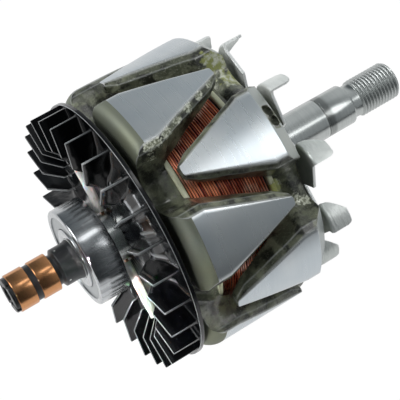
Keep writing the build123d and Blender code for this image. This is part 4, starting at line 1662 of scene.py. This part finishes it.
@dataclass
class RearBearing:
    """Ball bearing on the shaft's rear end: rings and shields; the rest is carried over."""

    outer_r: float = 20.0
    bore_r: float = SEAT_R
    inner_shoulder_r: float = 12.25
    outer_shoulder_r: float = 16.2
    seat_r: float = 17.35
    seat_depth: float = 0.9
    shield: float = 0.5
    shield_gap: float = 0.2  # between a shield and the inner ring
    bead_in_r: float = 16.2  # the pressed bead runs from here
    bead_out_r: float = 17.0
    bead_depth: float = 0.12
    race_r: float = 3.5
    outer_race: float = 17.6735
    inner_race: float = 10.8265

    def race(self, deep: float, away: int, steps: int = 12) -> list[Corner]:
        """Return the groove that the balls run in, cut into a shoulder.

        Args:
            deep: Radius at the bottom of the groove.
            away: 1 where the groove is cut outwards, -1 inwards.
            steps: Straight runs in the groove.

        Returns:
            Corners of the groove, without fillets.
        """
        centre = deep - away * self.race_r
        shoulder = self.outer_shoulder_r if away > 0 else self.inner_shoulder_r
        half = math.acos((shoulder - centre) * away / self.race_r)
        turns = [half * (2 * step / steps - 1) for step in range(steps + 1)]
        return [
            (BEARING_MIDDLE + self.race_r * math.sin(turn), centre + away * self.race_r * math.cos(turn), 0.0)
            for turn in turns
        ]

    def outer_ring(self) -> Shape:
        """Return the outer ring with its rounded edges, shield seats and race."""
        shape = Shape()
        rear, front = BEARING_REAR, BEARING_FRONT
        corners = [
            (rear, self.seat_r, 0.12),
            (rear, self.outer_r, 0.7),
            (front, self.outer_r, 0.7),
            (front, self.seat_r, 0.12),
            (front - self.seat_depth, self.seat_r, 0),
            (front - self.seat_depth, self.outer_shoulder_r, 0),
            *reversed(self.race(self.outer_race, 1)),
            (rear + self.seat_depth, self.outer_shoulder_r, 0),
            (rear + self.seat_depth, self.seat_r, 0),
        ]
        shape.revolve(rounded(corners, 5), 144)
        return shape

    def inner_ring(self) -> Shape:
        """Return the inner ring."""
        shape = Shape()
        corners = [
            (BEARING_REAR, self.bore_r, 0.6),
            (BEARING_REAR, self.inner_shoulder_r, 0.25),
            *self.race(self.inner_race, -1),
            (BEARING_FRONT, self.inner_shoulder_r, 0.25),
            (BEARING_FRONT, self.bore_r, 0.6),
        ]
        shape.revolve(rounded(corners), 96)
        return shape

    def shield_plate(self, side: int) -> Shape:
        """Return a pressed shield, dished a little towards the balls.

        Args:
            side: -1 rear, 1 front.

        Returns:
            The plate with its pressed bead.
        """
        shape = Shape()
        face = BEARING_REAR if side < 0 else BEARING_FRONT
        out = face - side * (self.seat_depth - self.shield)
        inner, outer = self.inner_shoulder_r + self.shield_gap, self.seat_r - 0.02
        corners = [
            (out, inner, 0.15),
            (out, self.bead_in_r, 0.3),
            (out - side * self.bead_depth, self.bead_in_r + 0.3, 0.2),
            (out - side * self.bead_depth, self.bead_out_r, 0.15),
            (out, outer, 0.12),
            (out - side * self.shield, outer, 0),
            (out - side * self.shield, inner, 0),
        ]
        shape.revolve(rounded(corners, 3), 128)
        return shape

    def assemble(self, finishes: Finishes) -> None:
        """Put the rings and shields in the scene and dress the balls and their cage.

        Args:
            finishes: The rotor's materials.
        """
        steel, pressed = finishes.bearing_steel, finishes.shield_steel
        outer = Body.BEARING_OUTER
        for name, ring, body in (
            ("outer", self.outer_ring(), outer),
            ("inner", self.inner_ring(), Body.ROTOR),
        ):
            place(f"{name}_race_ring", ring, [steel], [f"bearing_{name}_ring"], "bearing_steel", body, 30)
        for name, side in (("rear", -1), ("front", 1)):
            shield = self.shield_plate(side)
            place(f"{name}_shield", shield, [pressed], [f"bearing_shield_{name}"], "shield_steel", outer)
        dress("bearing_balls", steel)
        for node in ("bearing_cage_rear", "bearing_cage_front", "bearing_cage_rivets"):
            dress(node, pressed)


@dataclass
class Shaft:
    """The turned bar with its two seats, relief neck, rolled thread and rear stub."""

    groove_x: float = 28.8
    groove: float = 0.6
    groove_depth: float = 0.25
    pulley_r: float = 8.44
    neck_x: float = 42.2
    neck_r: float = 7.0
    thread_x: float = 46.1
    end_x: float = 64.8
    thread_r: float = 7.9
    thread_depth: float = 0.92
    thread_chamfer: float = 1.15  # how far the thread is cut back at the bar's end
    crest: float = 0.2  # height of the crests that are painted bright, a painted highlight
    crest_shine: float = 0.45
    pitch: float = 1.5
    stub_x: float = -112.8
    centre_r: float = 1.6  # rear lathe centre
    centre_depth: float = 5.0
    segments: int = 96

    def thread_radius(self, x: float, turn: float) -> float:
        """Return the thread's radius at a place along it and a share of a turn."""
        root = self.thread_r - self.thread_depth
        phase = (x / self.pitch - turn) % 1.0
        ridge = abs(phase - 0.5) * 2  # 0 in the root, 1 on the crest
        radius = root + self.thread_depth * clamp((ridge - 0.12) / 0.80)
        start = self.neck_r + (x - self.thread_x) * 1.1
        end = self.thread_r - self.thread_chamfer + (self.end_x - x)
        return min(radius, start, end)

    def plain_profile(self) -> list[tuple[float, float]]:
        """Return the profile from the rear lathe centre to the start of the thread."""
        groove_end = self.groove_x + self.groove
        low = SEAT_R - self.groove_depth
        bottom = self.stub_x + self.centre_depth
        corners = [
            (self.stub_x, self.centre_r, 0),
            (self.stub_x, STUB_R, 0.5),
            (BEARING_REAR, STUB_R, 0),
            (BEARING_REAR, SEAT_R, 0.5),
            (BEARING_FRONT, SEAT_R, 0),
            (BEARING_FRONT, BODY_R, 0.3),
            (0, BODY_R, 0.2),
            (0, SEAT_R, 0.25),
            (self.groove_x, SEAT_R, 0.08),
            (self.groove_x, low, 0.05),
            (groove_end, low, 0.05),
            (groove_end, self.pulley_r, 0.08),
            (self.neck_x, self.pulley_r, 0.7),
            (self.neck_x, self.neck_r, 0.8),
            (self.thread_x, self.neck_r, 0),
        ]
        return [(bottom, 0.0), (bottom, self.centre_r)] + rounded(corners)

    def build(self) -> Shape:
        """Return the bar as one closed mesh whose threaded length is a real helix."""
        shape = Shape()
        low_x, high_x = self.thread_x + 0.15, self.end_x - 0.05
        along = np.arange(low_x - self.pitch, high_x + 0.1, self.pitch / 12)
        line = [(x, radius, False) for x, radius in self.plain_profile()]
        line += [(x, 0.0, True) for x in along]
        line += [
            (self.end_x - depth, radius, False)
            for depth, radius in ((0.0, 1.9), (0.6, 1.3), (4.6, 1.0), (5.0, 0.0))
        ]
        rows = []
        for step in range(self.segments + 1):
            turn = step / self.segments
            row, worn = [], []
            for x, radius, threaded in line:
                if threaded:
                    x = min(max(x + self.pitch * turn, low_x), high_x)
                    radius = self.thread_radius(x, turn)
                row.append(around(x, radius, 360 * turn))
                # thread crests are painted bright as a highlight
                worn.append(self.crest_shine if threaded and radius > self.thread_r - self.crest else 0.0)
            rows.append(shape.add_points(row, [float(threaded) for _, _, threaded in line], worn))
        shape.bridge_all(rows, closed=False)
        return shape

    def assemble(self, finishes: Finishes) -> None:
        """Put the bar in the scene."""
        place("turned_shaft", self.build(), [finishes.shaft_steel], ["shaft"], "ground_steel", sharp=70)


@dataclass
class SlipRings:
    """Plastic carrier with its collar and slotted end, two copper rings, and the coil's leads."""

    end_x: float = -113.4
    ring_r: float = 7.65
    ring_bore_r: float = 6.3
    ring_width: float = 7.4
    outer_x: float = -111.8
    inner_x: float = -102.1
    groove_r: float = 7.1
    neck_r: float = 6.1
    neck_end_x: float = -93.0
    collar_x: float = -92.2
    flare_x: float = -86.6
    flare_r: float = 8.2
    slot_half: float = 0.8
    slot_depth: float = 2.2
    pin_x: float = -91.0
    pin_angles: tuple[float, float] = (63.9, 170.5)
    leads: tuple[float, float] = (42.5, 216.0)
    lead_x: float = -68.0
    sleeve_r: float = 1.7
    sleeve_in_r: float = 11.0
    sleeve_length: float = 23.8
    wire_r: float = 0.6
    wire_in_r: float = 30.0
    bend_in_r: float = 35.2  # radius at which a coil end starts to bend over
    bend: float = 2.0
    wire_end_x: float = -50.0

    def ring(self, x: float) -> Shape:
        """Return one copper ring that starts at a place along the shaft."""
        shape = Shape()
        end = x + self.ring_width
        rear = [(x, self.ring_bore_r, 0), (x, self.ring_r, 0.3)]
        shape.revolve(rounded(rear + [(end, self.ring_r, 0.3), (end, self.ring_bore_r, 0)]), 112)
        return shape

    def carrier(self) -> Shape:
        """Return the moulding, its end face split by cross slots."""
        shape = Shape()
        ring_end = self.outer_x + self.ring_width
        second_end = self.inner_x + self.ring_width
        corners = [
            (self.end_x, STUB_R, 0.1),
            (self.end_x, self.groove_r, 0.5),
            (self.outer_x, self.groove_r, 0),
            (self.outer_x, self.ring_bore_r, 0),
            (ring_end, self.ring_bore_r, 0),
            (ring_end, self.groove_r, 0),
            (self.inner_x, self.groove_r, 0),
            (self.inner_x, self.ring_bore_r, 0),
            (second_end, self.ring_bore_r, 0),
            (second_end, self.neck_r, 0),
            (self.neck_end_x, self.neck_r, 0.3),
            (self.collar_x, self.ring_r, 0.4),
            (self.flare_x, self.ring_r, 1.5),
            (BEARING_REAR, self.flare_r, 0.15),
            (BEARING_REAR, STUB_R, 0),
        ]
        shape.revolve(rounded(corners), 112)
        return shape

    def slots(self) -> Shape:
        """Return the cross that is taken out of the carrier's end."""
        shape = Shape()
        for turn in (0, 90):
            across = Vector(polar(self.flare_r + 0.8, turn))
            side = Vector(polar(self.slot_half, turn + 90))
            square = [across + side, across - side, -across - side, -across + side]
            ends = (self.end_x - 1, self.end_x + self.slot_depth)
            shape.loft([[(x, *point) for point in square] for x in ends], capped=True)
        return shape

    def pins(self) -> Shape:
        """Return the two small bright pin heads on the collar."""
        shape = Shape()
        for angle in self.pin_angles:
            foot = Vector(around(self.pin_x, self.ring_r - 0.35, angle))
            stations = ((0.5, -0.3), (0.5, 0.25), (0.36, 0.42), (0.05, 0.48))
            shape.peg(foot, Vector((0, *polar(1.0, angle))), stations, 14)
        return shape

    def sleeve(self, angle: float) -> Shape:
        """Return a braided sleeve that lies out along the radius, slightly bent and flared.

        Args:
            angle: Angle of the lead in degrees.

        Returns:
            The sleeve with closed ends.
        """
        shape = Shape()
        rows = []
        along = Vector((1, 0, 0))
        side = Vector((0.0, *polar(1.0, angle + 90)))
        for step in range(60):
            share = step / 59
            x = self.lead_x + 0.15 * math.sin(share * 7)
            middle = Vector(around(x, self.sleeve_in_r + share * self.sleeve_length, angle))
            middle += side * (0.22 * math.sin(share * 5.0))
            size = self.sleeve_r * (1.0 + 0.05 * math.sin(share * 19)) * (1.0 if share < 0.96 else 1.06)
            row = []
            for turn in range(20):
                at = 2 * math.pi * turn / 20
                knit = 1 + 0.04 * math.sin(4 * at + step * 1.3) * math.cos(4 * at - step * 1.3)
                row.append(middle + (along * math.cos(at) + side * math.sin(at)) * (size * knit))
            rows.append(row)
        shape.loft(rows, capped=True)
        return shape

    def wire(self, angle: float) -> Shape:
        """Return the coil's end: out of the sleeve, over in a bend, and down through the fan.

        Args:
            angle: Angle of the lead in degrees.

        Returns:
            The wire with closed ends.
        """
        shape = Shape()
        inside = np.linspace(self.wire_in_r, self.bend_in_r, 8)
        path = [around(self.lead_x, radius, angle) for radius in inside]
        for step in range(1, 11):
            turn = math.pi / 2 * step / 10
            x = self.lead_x + self.bend * (1 - math.cos(turn))
            path.append(around(x, self.bend_in_r + self.bend * math.sin(turn), angle))
        straight = np.linspace(self.lead_x + self.bend + 1.0, self.wire_end_x, 12)
        path += [around(x, self.bend_in_r + self.bend, angle) for x in straight]
        shape.tube(path, self.wire_r, 14)
        return shape

    def assemble(self, finishes: Finishes) -> None:
        """Put the rings, their carrier and the leads in the scene, and dress the copper bars.

        Args:
            finishes: The rotor's materials.
        """
        copper = [finishes.copper]
        for name, x in (("outer", self.outer_x), ("inner", self.inner_x)):
            place(f"copper_ring_{name}", self.ring(x), copper, [f"slip_ring_{name}"], "ring_copper")
        plastic = [finishes.carrier_plastic]
        carrier = place("ring_carrier", self.carrier(), plastic, ["slip_ring_moulding"], "moulding_plastic")
        drill(carrier, self.slots(), "slot_cutter")
        place("collar_pins", self.pins(), [finishes.tinned], [], "ring_copper")
        for number, angle in enumerate(self.leads, start=1):
            name, node = f"braided_sleeve_{number}", f"lead_sleeve_{number}"
            place(name, self.sleeve(angle), [finishes.braid], [node], "sleeve_fibre", sharp=70)
            name, node = f"coil_wire_end_{number}", f"coil_end_{number}"
            place(name, self.wire(angle), [finishes.tinned], [node], "enamelled_copper", sharp=70)
            dress(f"slip_ring_bar_{number}", finishes.copper)


@dataclass
class Studio:
    """Pale floor, soft light and the camera at the photograph's angle."""

    floor_z: float = -CLAW_R
    floor_half: float = 1500.0
    camera_at: tuple[float, float, float] = (-175.5, -219.2, 426.8)
    azimuth: float = -33.912
    elevation: float = 58.836
    lens: float = 116.39
    sensor: float = 36.0
    paper: tuple[str, str] = ("C2C4C5", "CBCDCE")
    far_paper: str = "34373A"  # keeps the floor's far end from lighting the flanks
    walls_behind: tuple[str, str] = ("34383A", "686E72")
    walls_ahead: tuple[str, str] = ("A6AAAC", "DEE1E2")
    ceiling: str = "8E9294"

    def camera(self) -> None:
        """Place the camera and make it the scene's."""
        data = bpy.data.cameras.new("camera")
        data.lens = self.lens
        data.sensor_width = self.sensor
        data.clip_start = 0.01
        data.clip_end = 10.0
        camera = bpy.data.objects.new("camera", data)
        bpy.context.scene.collection.objects.link(camera)
        camera.location = [value * MM for value in self.camera_at]
        camera.rotation_euler = (math.radians(90 - self.elevation), 0.0, math.radians(self.azimuth))
        bpy.context.scene.camera = camera

    def floor(self) -> None:
        """Lay a wide pale floor that the camera sees as plain white."""
        shape = Shape()
        half = self.floor_half
        corners = ((-half, -half), (half, -half), (half, half), (-half, half))
        shape.add_faces([tuple(shape.add_points([(x, y, self.floor_z) for x, y in corners]))])
        mesh = shape.to_mesh("floor", 30)
        material, add = new_material("matt_white_paper")
        where = add(Node.PLACE)
        grain = add(Node.NOISE, where, per_mm(3.0), 4.0)
        near = add(Node.RAMP, add(Node.AXES, where, out=1), -0.34, -0.12)
        pale = add(Node.MIX, grain, *map(srgb, self.paper))
        paper = add(Node.PAPER, add(Node.MIX, near, srgb(self.far_paper), pale), 0.4)
        white = add(Node.GLOW, (1, 1, 1, 1), 1.03)
        seen = add(Node.MULTIPLY, add(Node.RAY), 0.97)
        glossy = add(Node.MULTIPLY, add(Node.RAY, out="Is Glossy Ray"), add(Node.MULTIPLY, near, 0.85))
        add(Node.OUTPUT, add(Node.SHARE, add(Node.ADD, seen, glossy), paper, white))
        mesh.materials.append(material)
        floor = bpy.data.objects.new("floor", mesh)
        bpy.context.scene.collection.objects.link(floor)

    def lamp(
        self,
        name: str,
        at: tuple[float, float, float],
        size: tuple[float, float],
        power: float,
        aim: tuple[float, float, float] = (-0.03, 0.0, 0.0),
        spread: float = 180.0,
    ) -> None:
        """Hang one rectangular lamp that faces the rotor.

        Args:
            name: Name of the lamp.
            at: Place in metres.
            size: Width and height in metres.
            power: Power in watts.
            aim: Place that it faces, in metres.
            spread: Full angle of its beam in degrees.
        """
        data = bpy.data.lights.new(name, "AREA")
        data.shape = "RECTANGLE"
        data.size, data.size_y = size
        data.energy = power
        data.spread = math.radians(spread)
        lamp = bpy.data.objects.new(name, data)
        bpy.context.scene.collection.objects.link(lamp)
        lamp.location = at
        lamp.rotation_euler = (Vector(aim) - Vector(at)).to_track_quat("-Z", "Y").to_euler()

    def surroundings(self) -> None:
        """Fill the studio: a bright ceiling over darker walls, white where the camera looks past."""
        world = bpy.data.worlds.new("studio")
        bpy.context.scene.world = world
        add = Graph(world).add
        way = add(Node.WAY)
        side = add(Node.RAMP, add(Node.AXES, way, out=1), -0.6, 0.7)
        behind = add(Node.MIX, side, *map(srgb, self.walls_behind))
        ahead = add(Node.MIX, side, *map(srgb, self.walls_ahead))
        wall = add(Node.MIX, add(Node.RAMP, add(Node.AXES, way), 0.05, 0.5), behind, ahead)
        top = add(Node.RAMP, add(Node.AXES, way, out=2), 0.75, 1.0)
        room = add(Node.MIX, top, wall, srgb(self.ceiling))
        room = add(Node.MIX, add(Node.RAY), room, (1, 1, 1, 1))
        add(Node.WORLD, add(Node.BACKGROUND, room, 1.0))

    def assemble(self) -> None:
        """Set the stage."""
        self.camera()
        self.floor()
        self.surroundings()
        self.lamp("key_softbox", (0.34, -0.38, 0.72), (0.36, 0.42), 1.08)
        self.lamp("bearing_strip", (0.05, 0.02, 0.75), (0.14, 0.20), 0.2)
        self.lamp("hub_snoot", (-0.48, -0.40, 0.42), (0.03, 0.03), 0.022, (-0.070, -0.014, -0.010), 7.0)
        self.lamp("fill_softbox", (-0.72, 0.42, 0.80), (0.60, 0.60), 9.0)
        bpy.context.scene.view_settings.view_transform = "Standard"


def main() -> None:
    """Build every piece in order, then the studio."""
    logging.basicConfig(level=logging.INFO, format="%(message)s")
    noise.seed_set(NOISE_SEED)
    finishes = make_finishes()
    for assembly in (
        PolePiece("rear_pole_forging", "rear_pole_piece", -1, 79.1, True),
        PolePiece("front_pole_forging", "front_pole_piece", 1, 109.1, False, drill_angles=(104.4, 108.9)),
        FieldWinding(),
        RearFan(),
        FrontFan(),
        RearBearing(),
        Shaft(),
        SlipRings(),
    ):
        assembly.assemble(finishes)
    Studio().assemble()


if __name__ == "__main__":
    main()
